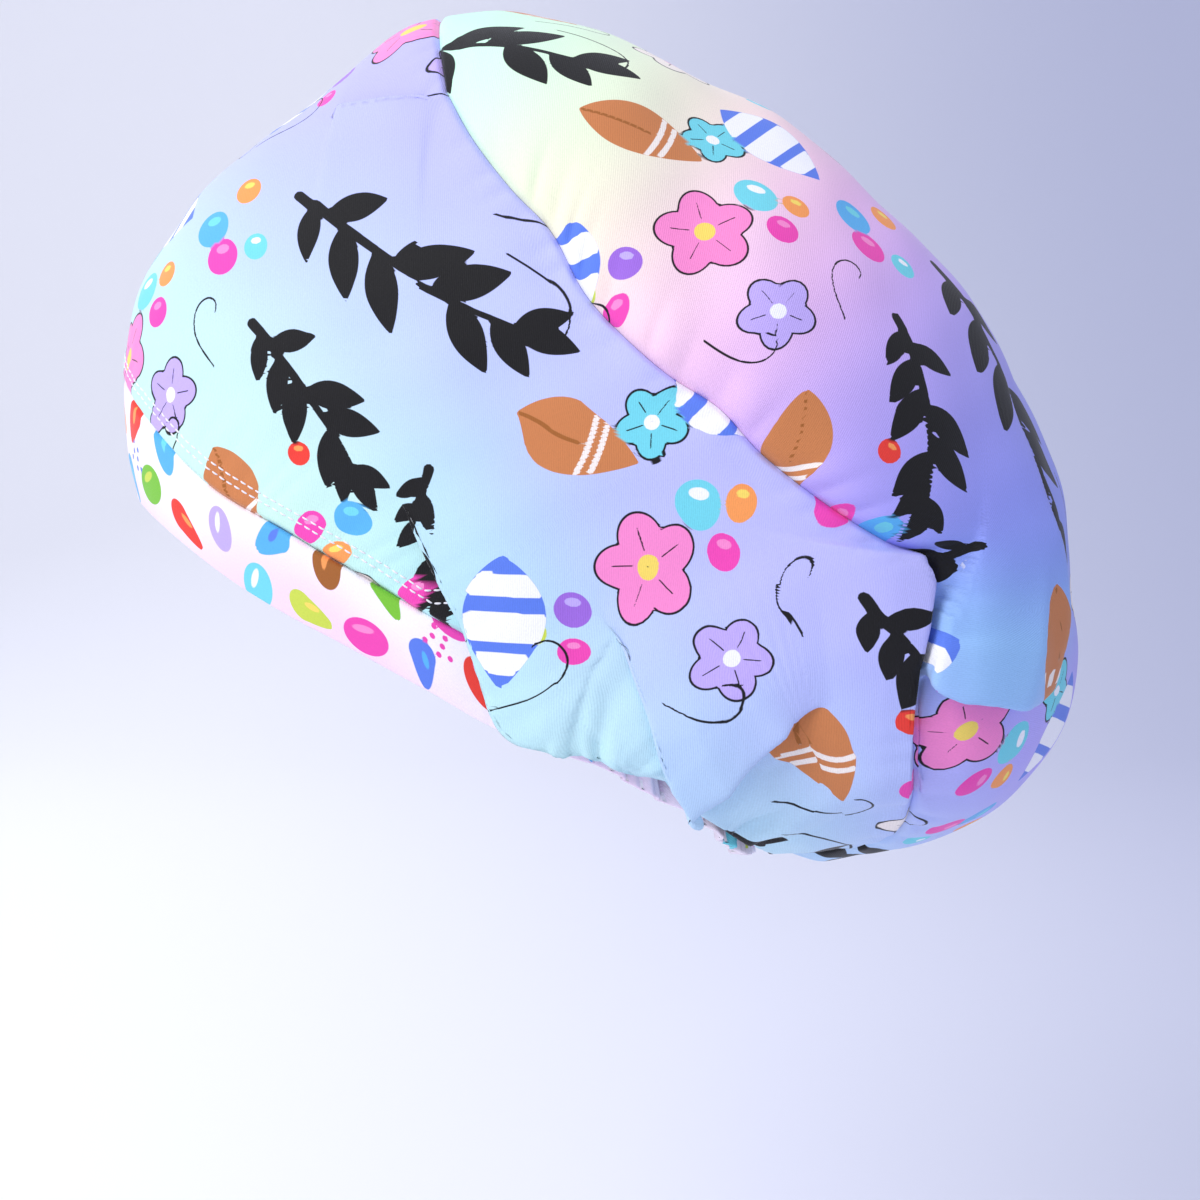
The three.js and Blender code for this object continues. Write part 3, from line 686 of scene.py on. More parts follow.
def grid_normals(points):
    a, b = np.gradient(points, axis=0), np.gradient(points, axis=1)
    return unit(np.cross(a, b))


def linked(name, data):
    piece = bpy.data.objects.new(name, data)
    bpy.context.scene.collection.objects.link(piece)
    return piece


def smooth_piece(name, vertices, faces):
    mesh = bpy.data.meshes.new(name)
    mesh.from_pydata(vertices, [], faces)
    mesh.polygons.foreach_set("use_smooth", np.ones(len(faces), bool))
    mesh.update()
    return linked(name, mesh)


def cloth_object(name, points, flat, thickness, values, colours, calm=None):
    """A closed sheet of cloth: the grid as its face, and an inner side at half the resolution.

    The inner side keeps clear of tight folds, and it is coloured as the wrong side only where it is calm.
    """
    rows, columns = points.shape[:2]
    normals = grid_normals(points)
    spare = np.zeros((rows, columns))
    padded = np.pad(points, ((2, 2), (2, 2), (0, 0)), mode="edge")
    for i in range(5):
        for j in range(5):
            spare = np.maximum(spare, dot(points - padded[i:i + rows, j:j + columns], normals))
    depth = thickness + np.minimum(spare, 0.8)[::2, ::2]
    inner = points[::2, ::2] - normals[::2, ::2] * depth[..., None]
    ident = np.arange(rows * columns).reshape(rows, columns)
    half = rows * columns + np.arange(inner.shape[0] * inner.shape[1]).reshape(inner.shape[:2])

    def quads(grid):
        return np.stack([grid[:-1, :-1], grid[1:, :-1], grid[1:, 1:], grid[:-1, 1:]], -1).reshape(-1, 4)

    # Along the border, every two steps of the face are closed to one of the inner side by three triangles.
    sides = [(ident[:, 0], half[:, 0], 1), (ident[:, -1], half[:, -1], -1),
             (ident[0, :], half[0, :], -1), (ident[-1, :], half[-1, :], 1)]
    triangles = []
    for outer, low, turn in sides:
        a0, a1, a2, b0, b1 = outer[:-2:2], outer[1::2], outer[2::2], low[:-1], low[1:]
        fan = np.concatenate([np.stack(t, -1) for t in ((a0, b0, a1), (a1, b0, b1), (a1, b1, a2))])
        triangles.append(fan[:, ::turn])
    faces4 = np.concatenate([quads(ident), quads(half)[:, ::-1]])
    faces3 = np.concatenate(triangles)
    vertices = np.concatenate([points.reshape(-1, 3), inner.reshape(-1, 3)]) * MM
    mesh = bpy.data.meshes.new(name)
    mesh.vertices.add(len(vertices))
    mesh.vertices.foreach_set("co", vertices.ravel().astype(np.float32))
    loops = np.concatenate([faces4.ravel(), faces3.ravel()])
    sizes = np.concatenate([np.full(len(faces4), 4), np.full(len(faces3), 3)])
    mesh.loops.add(len(loops))
    mesh.loops.foreach_set("vertex_index", loops.astype(np.int32))
    mesh.polygons.add(len(sizes))
    mesh.polygons.foreach_set("loop_start", np.concatenate([[0], np.cumsum(sizes)[:-1]]).astype(np.int32))
    mesh.update(calc_edges=True)
    mesh.polygons.foreach_set("use_smooth", np.ones(len(sizes), bool))

    def both(array):
        return np.concatenate([a.reshape(a.shape[0] * a.shape[1], -1) for a in (array, array[::2, ::2])])

    def keep(key, kind, field, data):
        mesh.attributes.new(key, kind, "POINT").data.foreach_set(field, data.ravel().astype(np.float32))

    uv = mesh.uv_layers.new(name="cloth")
    uv.data.foreach_set("uv", (both(flat) * UV_PER_MM)[loops].ravel().astype(np.float32))
    for key, array in values.items():
        keep(key, "FLOAT", "value", both(array))
    wrong = np.zeros(half.shape)
    wrong[WRONG_SIDE_MARGIN:-WRONG_SIDE_MARGIN, WRONG_SIDE_MARGIN:-WRONG_SIDE_MARGIN] = 1
    if calm is not None:
        wrong = wrong * calm[::2, ::2]
    keep("inside", "FLOAT", "value", np.concatenate([np.zeros(rows * columns), wrong.ravel()]))
    for key, array in colours.items():
        data = both(array)
        keep(key, "FLOAT_COLOR", "color", np.concatenate([data, np.ones((len(data), 1))], 1))
    mesh.validate()
    return linked(name, mesh)


# Inks of the print, as sRGB values.
INKS = {
    "black": (0.035, 0.03, 0.045), "tan": (0.80, 0.50, 0.30), "cream": (0.97, 0.93, 0.90),
    "blue": (0.36, 0.50, 0.90), "sky": (0.35, 0.70, 0.93), "cyan": (0.45, 0.84, 0.90),
    "magenta": (0.95, 0.28, 0.70), "pink": (0.98, 0.55, 0.80), "red": (0.93, 0.24, 0.20),
    "orange": (0.98, 0.62, 0.34), "yellow": (0.98, 0.86, 0.40), "lime": (0.80, 0.86, 0.32),
    "green": (0.48, 0.77, 0.22), "brown": (0.64, 0.38, 0.16), "lilac": (0.76, 0.68, 0.95),
    "violet": (0.62, 0.42, 0.85), "white": (0.97, 0.97, 0.99),
}

PRINT_TILE = (172.0, 128.0)
BAND_TILE = (74.0, 62.0)
CONFETTI_SCALE = 1.2

# Sprigs of black leaves: x, y, turn, length, bend, leaf length.
SPRIGS = [
    (12, 96, 2, 74, 0.35, 19), (26, 62, -4, 50, -0.3, 15), (92, 66, -62, 36, 0.5, 12),
]

# Single motifs: kind, x, y, turn unless round, size, ink, second ink.
MOTIFS = [
    ("blossom", 152, 92, 10, 13.5, "pink", "yellow"), ("blossom", 12, 30, 40, 10.5, "lilac", "white"),
    ("blossom", 96, 18, 70, 11.5, "cream", "pink"), ("blossom", 128, 118, 25, 9, "cyan", "white"),
    ("striped", 124, 68, -48, 36, "blue", "white"), ("striped", 120, 4, 8, 33, "blue", "white"),
    ("ribbed", 100, 94, 24, 36, "tan", "cream"), ("ribbed", 36, 28, -24, 34, "tan", "cream"),
    ("berry", 150, 112, 6.4, "cyan", "white"), ("berry", 163, 110, 4.8, "magenta", "pink"),
    ("berry", 158, 120, 4.2, "orange", "yellow"), ("berry", 84, 40, 5.6, "sky", "cyan"),
    ("berry", 76, 31, 4.4, "magenta", "pink"), ("berry", 87, 30, 3.8, "orange", "yellow"),
    ("berry", 146, 70, 5.0, "violet", "lilac"), ("berry", 154, 62, 4.0, "magenta", "pink"),
    ("berry", 143, 59, 3.6, "lime", "yellow"), ("berry", 4, 70, 5.6, "magenta", "pink"),
    ("berry", 12, 78, 4.0, "cyan", "white"), ("berry", 166, 10, 6.0, "sky", "cyan"),
    ("berry", 168, 24, 4.4, "orange", "yellow"), ("berry", 60, 44, 3.6, "red", "orange"),
    ("berry", 112, 34, 4.8, "magenta", "pink"), ("berry", 120, 27, 3.8, "cyan", "white"),
]

# Thin tendrils: x, y, turn, length, curl.
TENDRILS = [
    (150, 36, 60, 38, 4.4), (22, 46, 170, 30, -4.8), (60, 2, 20, 34, 4.6), (70, 124, 10, 40, -4.2),
    (132, 44, -70, 30, 5.0), (8, 10, 20, 30, 4.4),
]

# Confetti of the bands: kind, x, y, turn, size, ink, second ink; dots have no turn and one ink.
CONFETTI = [
    ("drop", 6, 8, 20, 7.4, "magenta", "pink"), ("drop", 22, 6, 100, 6.4, "sky", "cyan"),
    ("pebble", 38, 9, 35, 6.8, "green", "lime"), ("drop", 54, 6, 150, 6.6, "red", "orange"),
    ("pebble", 68, 12, 80, 5.6, "lilac", "white"), ("pebble", 14, 21, 140, 6.2, "orange", "yellow"),
    ("drop", 30, 22, 60, 7, "red", "orange"), ("pebble", 47, 22, 110, 6.6, "sky", "cyan"),
    ("drop", 61, 25, 30, 6.2, "brown", "tan"), ("pebble", 4, 34, 65, 6.4, "cyan", "white"),
    ("drop", 20, 35, 170, 6.4, "lime", "yellow"), ("pebble", 36, 36, 15, 6.6, "magenta", "pink"),
    ("drop", 52, 37, 95, 6.2, "blue", "sky"), ("pebble", 68, 40, 130, 6.6, "red", "pink"),
    ("drop", 10, 48, 45, 6.6, "sky", "blue"), ("pebble", 26, 49, 85, 6, "brown", "orange"),
    ("drop", 42, 50, 125, 6.6, "green", "lime"), ("pebble", 58, 52, 160, 6.4, "magenta", "lilac"),
    ("dots", 30, 13, 4.2, "blue"), ("dots", 56, 44, 4.2, "magenta"),
    ("dots", 0, 22, 4.2, "blue"), ("dots", 17, 57, 4, "red"),
]

# Soft wash under the print: x, z, spread, red, green, blue.
SIDE_WASH = np.array([
    (-40, 150, 34, 0.72, 0.72, 0.97), (-85, 115, 26, 0.76, 0.93, 0.94), (-60, 90, 26, 0.80, 0.97, 0.90),
    (-15, 115, 30, 0.74, 0.86, 0.98), (25, 120, 34, 0.74, 0.74, 0.97), (-30, 62, 24, 0.82, 0.97, 0.86),
    (15, 50, 26, 0.68, 0.92, 0.96), (60, 70, 34, 0.76, 0.76, 0.97), (105, 40, 34, 0.74, 0.73, 0.97),
    (38, 20, 22, 0.80, 0.98, 0.90), (72, 12, 20, 0.70, 0.90, 0.97), (96, -26, 22, 0.78, 0.98, 0.95),
    (128, -8, 26, 0.70, 0.73, 0.97), (0, 170, 26, 0.72, 0.70, 0.96),
])
CROWN_WASH = np.array([
    (15, 185, 22, 0.76, 0.97, 0.90), (45, 180, 22, 0.88, 0.98, 0.84), (45, 143, 24, 0.97, 0.97, 0.80),
    (85, 168, 24, 0.98, 0.93, 0.84), (75, 118, 24, 0.98, 0.78, 0.93), (112, 140, 26, 0.97, 0.74, 0.93),
    (150, 112, 28, 0.72, 0.66, 0.95), (122, 78, 24, 0.74, 0.66, 0.95), (165, 75, 26, 0.58, 0.62, 0.95),
    (150, 60, 18, 0.48, 0.56, 0.94), (154, 32, 15, 0.58, 0.90, 0.97), (158, -8, 24, 0.72, 0.66, 0.97),
    (120, -40, 26, 0.72, 0.86, 0.97),
])

# The two tones that drift into each other under the confetti.
BAND_WASH = np.array([(0.985, 0.955, 0.985), (0.965, 0.86, 0.965)])


def linear(colour):
    c = np.asarray(colour, float)
    return np.where(c <= 0.04045, c / 12.92, ((c + 0.055) / 1.055) ** 2.4)


def washed(points, spots):
    gap = (points[..., None, 0] - spots[:, 0]) ** 2 + (points[..., None, 2] - spots[:, 1]) ** 2
    weight = np.exp(-gap / (2 * spots[:, 2] ** 2)) + 1e-9
    colour = weight @ spots[:, 3:] / weight.sum(-1, keepdims=True)
    return linear(np.clip(colour, 0, 1))


class Print:
    """Distances to the nearest motif, in three layers: fills, what lies on them, and thin black lines."""

    def __init__(self, flat, tile):
        self.shape = flat.shape[:-1]
        self.flat = flat.reshape(-1, 2)
        self.tile = tile
        count = len(self.flat)
        self.reach = np.full(count, FAR)
        self.values = {key: np.full(count, FAR) for key in ("fill", "over", "line")}
        self.values["line_width"] = np.full(count, -1.0)
        self.values["outline"] = np.zeros(count)
        self.colours = {key: np.zeros((count, 3)) for key in ("fill_colour", "over_colour")}

    def local(self, x, y, turn):
        """Coordinates about a motif's own place, in the nearest repeat of the tile (a half-drop repeat)."""
        wide, tall = self.tile
        du, dv = self.flat[:, 0] - x, self.flat[:, 1] - y
        k = np.round(du / wide)
        du, dv = du - k * wide, dv - k * tall / 2
        dv = dv - np.round(dv / tall) * tall
        c, s = math.cos(math.radians(turn)), math.sin(math.radians(turn))
        return c * du + s * dv, -s * du + c * dv

    def put(self, layer, distance, colour, outline=0.0):
        closer = distance < self.values[layer]
        self.values[layer][closer] = distance[closer]
        self.colours[layer + "_colour"][closer] = linear(INKS[colour])
        if layer == "fill":
            self.values["outline"][closer] = outline

    def ink(self, signed, reach, width):
        """A thin black line where signed crosses zero; its width goes below nothing away from it."""
        here = (reach < 3.6) & (reach < self.reach)
        self.reach[here] = reach[here]
        self.values["line"][here] = signed[here]
        self.values["line_width"][here] = (width - 1.5 * np.maximum(reach - 0.8, 0))[here]

    def oval(self, layer, x, y, turn, wide, tall, colour, round_to=None):
        u, v = self.local(x, y, turn)
        self.put(layer, (np.hypot(u / wide, v / tall) - 1) * (round_to or tall), colour)

    def leaf(self, x, y, turn, length, wide, colour):
        """A leaf; gives the coordinates along and across it and the distance to its edge."""
        u, v = self.local(x, y, turn)
        t = np.clip(u / length, 0, 1)
        half = wide / 2 * np.sin(np.pi * t ** 0.85) ** 0.9
        ends = np.hypot(u - np.clip(u, 0, length), v)
        distance = np.where((u > 0) & (u < length), (np.abs(v) - half) * 0.95, ends)
        self.put("fill", distance, colour)
        return u, v, distance

    def sprig(self, x, y, turn, length, bend, size):
        """A black stem with leaves on both sides, drawn as short straight runs."""
        heading = math.radians(turn)
        runs = 12
        step = length / runs
        for i in range(runs):
            u, v = self.local(x, y, math.degrees(heading))
            self.put("fill", np.hypot(u - np.clip(u, 0, step), v) - (1.5 - 0.8 * i / runs), "black")
            x, y = x + step * math.cos(heading), y + step * math.sin(heading)
            if i % 3 != 0 or i == 0:
                side = 1 if i % 2 else -1
                long = size * (0.75 + 0.5 * math.sin(math.pi * (i + 1) / (runs + 1)))
                self.leaf(x, y, math.degrees(heading) + side * (50 - 1.5 * i), long, 0.42 * long, "black")
            heading += bend / runs
        self.leaf(x, y, math.degrees(heading), size, 0.42 * size, "black")

    def blossom(self, x, y, turn, size, ink, second):
        for k in range(5):
            angle = turn + 72 * k
            cx = x + size * 0.52 * math.cos(math.radians(angle))
            cy = y + size * 0.52 * math.sin(math.radians(angle))
            u, v = self.local(cx, cy, angle)
            self.put("fill", (np.hypot(u / (0.52 * size), v / (0.42 * size)) - 1) * 0.42 * size, ink, 1.0)
            u, v = self.local(x, y, angle)
            self.ink(v, np.hypot(u - np.clip(u, 0.34 * size, 0.68 * size), v), 0.17)
        self.oval("over", x, y, turn, 0.22 * size, 0.22 * size, second)

    def striped(self, x, y, turn, size, ink, second):
        u, _, distance = self.leaf(x, y, turn, size, size * 0.62, ink)
        for at, half in ((0.20, 0.085), (0.52, 0.115), (0.80, 0.085)):
            self.put("over", np.maximum(np.abs(u - at * size) - half * size, distance), second)

    def ribbed(self, x, y, turn, size, ink, second):
        u, v, distance = self.leaf(x, y, turn, size, size * 0.5, ink)
        for at in (0.62, 0.71):
            self.put("over", np.maximum(np.abs(u - at * size + 0.012 * v * v) - 0.022 * size, distance), second)
        self.put("over", np.maximum(np.abs(v) - 0.5, np.maximum(distance, u - 0.56 * size)), "brown")

    def berry(self, x, y, size, ink, second):
        u, v = self.local(x, y, 0)
        self.put("fill", np.hypot(u, v * 1.12) - size, ink)
        self.oval("over", x - 0.28 * size, y + 0.3 * size, 35, 0.42 * size, 0.24 * size, second)

    def drop(self, x, y, turn, size, ink, second):
        u, v = self.local(x, y, turn)
        half = 0.58 * size * np.sqrt(np.clip((u + size) / (1.38 * size), 0, 1))
        round_end = np.hypot(u - 0.38 * size, v) - 0.58 * size
        taper = np.where((u > -size) & (u < 0.38 * size), (np.abs(v) - half) * 0.9, FAR)
        self.put("fill", np.minimum(round_end, taper), ink)
        self.oval("over", x + 0.1 * size, y + 0.2 * size, turn + 10, 0.34 * size, 0.13 * size, second)

    def pebble(self, x, y, turn, size, ink, second):
        self.oval("fill", x, y, turn, size, 0.66 * size, ink, 0.7 * size)
        self.oval("over", x - 0.1 * size, y + 0.25 * size, turn, 0.5 * size, 0.14 * size, second)

    def dots(self, x, y, size, ink):
        for k in range(7):
            angle = 2.4 * k
            reach = size * math.sqrt((k + 0.5) / 7)
            u, v = self.local(x + reach * math.cos(angle), y + reach * math.sin(angle), 0)
            self.put("fill", np.hypot(u, v) - 0.75, ink)

    def tendril(self, x, y, turn, length, curl):
        heading = math.radians(turn)
        runs = 22
        step = length / runs
        for i in range(runs):
            u, v = self.local(x, y, math.degrees(heading))
            reach = np.hypot(u - np.clip(u, 0, step), v)
            self.ink(np.where(v >= 0, reach, -reach), reach, 0.30)
            x, y = x + step * math.cos(heading), y + step * math.sin(heading)
            heading += curl * (i / runs) ** 1.6 * 2.6 / runs

    def finished(self):
        values = {k: v.reshape(self.shape) for k, v in self.values.items()}
        colours = {k: v.reshape(self.shape + (3,)) for k, v in self.colours.items()}
        return values, colours


def floral_print(flat):
    layer = Print(flat, PRINT_TILE)
    for x, y, turn, length, curl in TENDRILS:
        layer.tendril(x, y, turn, length, curl)
    for row in MOTIFS:
        getattr(layer, row[0])(*row[1:])
    for row in SPRIGS:
        layer.sprig(*row)
    return layer.finished()


def confetti_print(flat):
    layer = Print(flat / CONFETTI_SCALE, BAND_TILE)
    for row in CONFETTI:
        getattr(layer, row[0])(*row[1:])
    return layer.finished()


def turned(flat, degrees, shift):
    c, s = math.cos(math.radians(degrees)), math.sin(math.radians(degrees))
    u, v = flat[..., 0], flat[..., 1]
    return np.stack([c * u - s * v + shift[0], s * u + c * v + shift[1]], -1)


class Nodes:
    """Short ways to make and join the nodes of a new material."""

    def __init__(self, name):
        self.material = bpy.data.materials.new(name)
        self.material.use_nodes = True
        self.tree = self.material.node_tree
        self.tree.nodes.clear()

    def give(self, socket, value):
        """Set a socket to a constant, or join another node's output to it."""
        if isinstance(value, (int, float)):
            socket.default_value = value
        elif isinstance(value, tuple):
            socket.default_value = (*value, 1.0)
        else:
            self.tree.links.new(value, socket)

    def add(self, kind, sockets=None, **settings):
        node = self.tree.nodes.new(kind)
        for key, value in settings.items():
            setattr(node, key, value)
        for key, value in (sockets or {}).items():
            self.give(node.inputs[key], value)
        return node

    def surface(self, sockets):
        shader = self.add("ShaderNodeBsdfPrincipled", sockets)
        self.add("ShaderNodeOutputMaterial", {"Surface": shader.outputs[0]})
        return self.material

    def number(self, name):
        return self.add("ShaderNodeAttribute", attribute_name=name).outputs["Fac"]

    def colour(self, name):
        return self.add("ShaderNodeAttribute", attribute_name=name).outputs["Color"]

    def ranged(self, source, ends, shape="LINEAR"):
        node = self.add("ShaderNodeMapRange", {"Value": source, **ends}, interpolation_type=shape)
        return node.outputs["Result"]

    def sharp(self, source, edge, sense=-1.0):
        """A narrow soft step: 1 where the value is below edge, or above it where sense is 1."""
        return self.ranged(source, {"From Min": edge - 0.09 * sense, "From Max": edge + 0.09 * sense})

    def math(self, operation, *values):
        return self.add("ShaderNodeMath", dict(enumerate(values)), operation=operation).outputs[0]

    def mix(self, factor, a, b, kind="MIX"):
        node = self.add("ShaderNodeMix", {0: factor, 6: a, 7: b}, data_type="RGBA", blend_type=kind)
        return node.outputs[2]


def cloth_material(name):
    """Printed cotton sateen: wash, three print layers, fine twill, speckle and a pale wrong side."""
    nodes = Nodes(name)
    black = tuple(float(v) for v in linear(INKS["black"]))
    fill = nodes.number("fill")
    filled = nodes.sharp(fill, 0.0)
    colour = nodes.mix(filled, nodes.colour("wash"), nodes.colour("fill_colour"))
    over = nodes.math("MULTIPLY", nodes.sharp(nodes.number("over"), 0.0), filled)
    colour = nodes.mix(over, colour, nodes.colour("over_colour"))
    rim = nodes.sharp(nodes.math("ABSOLUTE", fill), 0.26)
    colour = nodes.mix(nodes.math("MULTIPLY", rim, nodes.number("outline")), colour, black)
    line = nodes.math("SUBTRACT", nodes.math("ABSOLUTE", nodes.number("line")), nodes.number("line_width"))
    colour = nodes.mix(nodes.sharp(line, 0.0), colour, black)

    uv = nodes.add("ShaderNodeUVMap", uv_map="cloth").outputs[0]
    speckle = nodes.add("ShaderNodeTexNoise", {"Vector": uv, "Scale": 170.0, "Detail": 3.0}).outputs["Fac"]
    twill = nodes.add(
        "ShaderNodeTexWave", {"Vector": uv, "Scale": 78.0, "Distortion": 0.25, "Detail": 1.0},
        wave_type="BANDS", bands_direction="DIAGONAL", wave_profile="SIN").outputs["Fac"]
    for texture, low, high in ((speckle, 0.90, 1.08), (twill, 0.975, 1.02)):
        colour = nodes.mix(1.0, colour, nodes.ranged(texture, {"To Min": low, "To Max": high}), "MULTIPLY")
    pale = nodes.mix(0.62, colour, (0.86, 0.86, 0.90))
    colour = nodes.mix(nodes.sharp(nodes.number("inside"), 0.5, 1.0), colour, pale)
    weave = nodes.add("ShaderNodeBump", {"Strength": 0.35, "Distance": 0.00012, "Height": twill})
    slub = nodes.add("ShaderNodeBump", {
        "Strength": 0.25, "Distance": 0.00018, "Height": speckle, "Normal": weave.outputs["Normal"]})
    return nodes.surface({
        "Base Color": colour, "Normal": slub.outputs["Normal"],
        "Roughness": nodes.ranged(speckle, {"To Min": 0.66, "To Max": 0.84}),
        "Sheen Weight": 0.22, "Sheen Roughness": 0.4, "Specular IOR Level": 0.35,
    })


def thread_material(colour):
    nodes = Nodes("thread")
    place = nodes.add("ShaderNodeTexCoord").outputs["Object"]
    twist = nodes.add("ShaderNodeTexNoise", {"Vector": place, "Scale": 2600.0}).outputs["Fac"]
    tone = nodes.mix(twist, tuple(colour), tuple(0.86 * c for c in colour))
    return nodes.surface({"Base Color": tone, "Roughness": 0.6, "Sheen Weight": 0.3})


def backdrop_material(light, shade):
    """Paper with painted shade: its colour darkens smoothly from the lit side, -X, to the other."""
    nodes = Nodes("backdrop_paper")
    place = nodes.add("ShaderNodeTexCoord").outputs["Object"]
    across = nodes.add("ShaderNodeSeparateXYZ", {0: place}).outputs["X"]
    share = nodes.ranged(across, {"From Min": -0.35, "From Max": 0.75}, "SMOOTHSTEP")
    return nodes.surface({"Base Color": nodes.mix(share, tuple(light), tuple(shade)), "Roughness": 0.9})


def dress(piece, material, node):
    piece.data.materials.append(cloth_material(material))
    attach(piece, "root")
    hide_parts(node)


def panel_piece(name, grid, cloth, spots, coarse_shape, orient, settings):
    """A main panel from its grid of places, laid flat on a coarse grid for its print."""
    first, second, depth = grid
    point, normal, base, move, take = cloth(first, second, settings)
    point = point - normal * depth[..., None]
    rows, columns = base.shape[:2]
    pick_i = np.round(np.linspace(0, rows - 1, coarse_shape[0])).astype(int)
    inner_rows = np.linspace(len(SEAM_ROWS) - 1, columns - len(SEAM_ROWS), coarse_shape[1] - 2)
    pick_j = np.concatenate([[0], np.round(inner_rows).astype(int), [columns - 1]])
    picked = base[np.ix_(pick_i, pick_j)]
    coarse = flatten(picked)
    at_i = np.interp(np.arange(rows), pick_i, np.arange(len(pick_i)))
    at_j = np.interp(np.arange(columns), pick_j, np.arange(len(pick_j)))
    flat = resample(coarse, at_i, at_j)
    ways = resample(carrying(coarse, picked), at_i, at_j)
    moved = move + take
    flat = flat + np.stack([dot(ways[..., :3], moved), dot(ways[..., 3:], moved)], -1)
    flat = turned(flat, *orient)
    values, colours = floral_print(flat)
    colours["wash"] = washed(base + 1.5 * take, spots)
    calm = size_of(move) < 0.6
    return cloth_object(name, point, flat, settings.thickness / MM, values, colours, calm)


def band_piece(name, turns, hem, settings, lip, under):
    """A rim band with its inside hem, rolled lower edge and turned-in top.

    lip is the depth of the top's last row; under is 1 where the ends lie under the other band, -1 where
    they lie over it.
    """
    roll = settings.roll / MM
    bend = np.pi * roll
    near = np.abs(turns)
    face = size_of(band_top(near) - rim_point(RIM, near)) - roll
    inner = np.linspace(0, hem, 15)[:-1]
    curve = hem + np.linspace(0, bend, 9)[:-1]
    rows = [np.broadcast_to(r, turns.shape) for r in (*inner, *curve)]
    rows += [hem + bend + face * t for t in np.linspace(0, 1, 33)]
    rows = np.stack(rows + [rows[-1]] * 2, -1)
    depth = np.zeros(rows.shape)
    depth[:, -4:] = (0.12, 0.9, 1.8, lip)
    depth = depth + 0.35 * ease((under * (near - BAND_CHANGE_TURN) + 0.5) / 3)[:, None]
    turn = np.broadcast_to(turns[:, None], rows.shape)
    point, way = band_cloth(turn, rows, settings, hem, roll)
    point = point - way * depth[..., None]
    length = np.interp(near, RIM_TURNS, RIM_LENGTHS) * np.where(turns < 0, -1, 1)
    flat = np.stack([np.broadcast_to(length[:, None], rows.shape), rows - hem - bend], -1)
    values, colours = confetti_print(flat)
    shade = ease(0.5 + 0.5 * waves(flat, 80, 21))[..., None]
    colours["wash"] = linear(BAND_WASH[0] * (1 - shade) + BAND_WASH[1] * shade)
    return cloth_object(name, point, flat, settings.thickness / MM, values, colours)


def thread_object(name, starts, ends, ups, radius):
    """Separate stitches: short rounded runs of thread, each a closed body."""
    ring = 6
    stations = ((0.02, 0.35), (0.14, 0.85), (0.5, 1.0), (0.86, 0.85), (0.98, 0.35))
    side = unit(np.cross(unit(ends - starts), ups))
    up = np.cross(side, unit(ends - starts))
    angles = [2 * math.pi * k / ring for k in range(ring)]
    vertices, faces = [], []
    for k in range(len(starts)):
        base = len(vertices)
        for at, share in stations:
            rise = 0.5 * math.sin(math.pi * at) - 0.25
            centre = starts[k] + (ends[k] - starts[k]) * at + up[k] * radius * rise
            for a in angles:
                spoke = side[k] * math.cos(a) * 1.1 + up[k] * math.sin(a) * 0.8
                vertices.append(tuple((centre + spoke * radius * share) * MM))
        rings = [list(range(base + s * ring, base + (s + 1) * ring)) for s in range(len(stations))]
        for low, high in zip(rings[:-1], rings[1:]):
            faces += [(low[r - 1], low[r], high[r], high[r - 1]) for r in range(ring)]
        faces += [rings[0][::-1], rings[-1]]
    return smooth_piece(name, vertices, faces)


def stitch_row(cloth, pitch, stitch):
    """Starts, ends and facings of evenly pitched stitches along a line of the cloth."""
    line, facing = cloth(np.linspace(0, 1, 1400))
    run = running(size_of(np.diff(line, axis=0)))
    starts = np.arange(pitch, run[-1] - pitch, pitch)

    def at(places, values):
        return np.stack([np.interp(places, run, values[:, k]) for k in range(3)], -1)

    return at(starts, line), at(starts + stitch, line), unit(at(starts + stitch / 2, facing))


def stitch_line(steps, rise, settings):
    """Places and facings along the side band at one distance above the bands, from right to left."""
    last = np.interp(STITCH_END_TURN, LOWER_TURNS, LOWER_PATH.lengths) / LOWER_PATH.total
    share = last * (2 * steps - 1)
    near = np.abs(share)
    height = strip_height(direction_to(band_top(turn_at(near))), UPPER_PATH.at(near))
    squeeze = np.minimum(1, height / FULL_STRIP)
    places = [side_cloth(np.clip(share + ds, -SIDE_END, SIDE_END), (rise + dr) * squeeze, settings)[0]
              for ds, dr in ((0, 0), (0.0012, 0), (0, 0.5))]
    facing = unit(np.cross(places[1] - places[0], places[2] - places[0]))
    return places[0] + facing * 0.05, facing


# Soft lights: name, place, width in metres, power in watts, colour.
LIGHTS = (
    ("key", (-1.0, -1.0, 1.1), 1.0, 21.0, (1.0, 0.985, 0.975)),
    ("fill", (1.3, -0.9, 0.3), 1.2, 2.2, (0.84, 0.88, 1.0)),
    ("top", (-0.2, 0.3, 1.6), 1.2, 6.0, (0.97, 0.97, 1.0)),
    ("back", (-0.6, 1.0, 0.6), 1.0, 3.0, (0.95, 0.96, 1.0)),
)


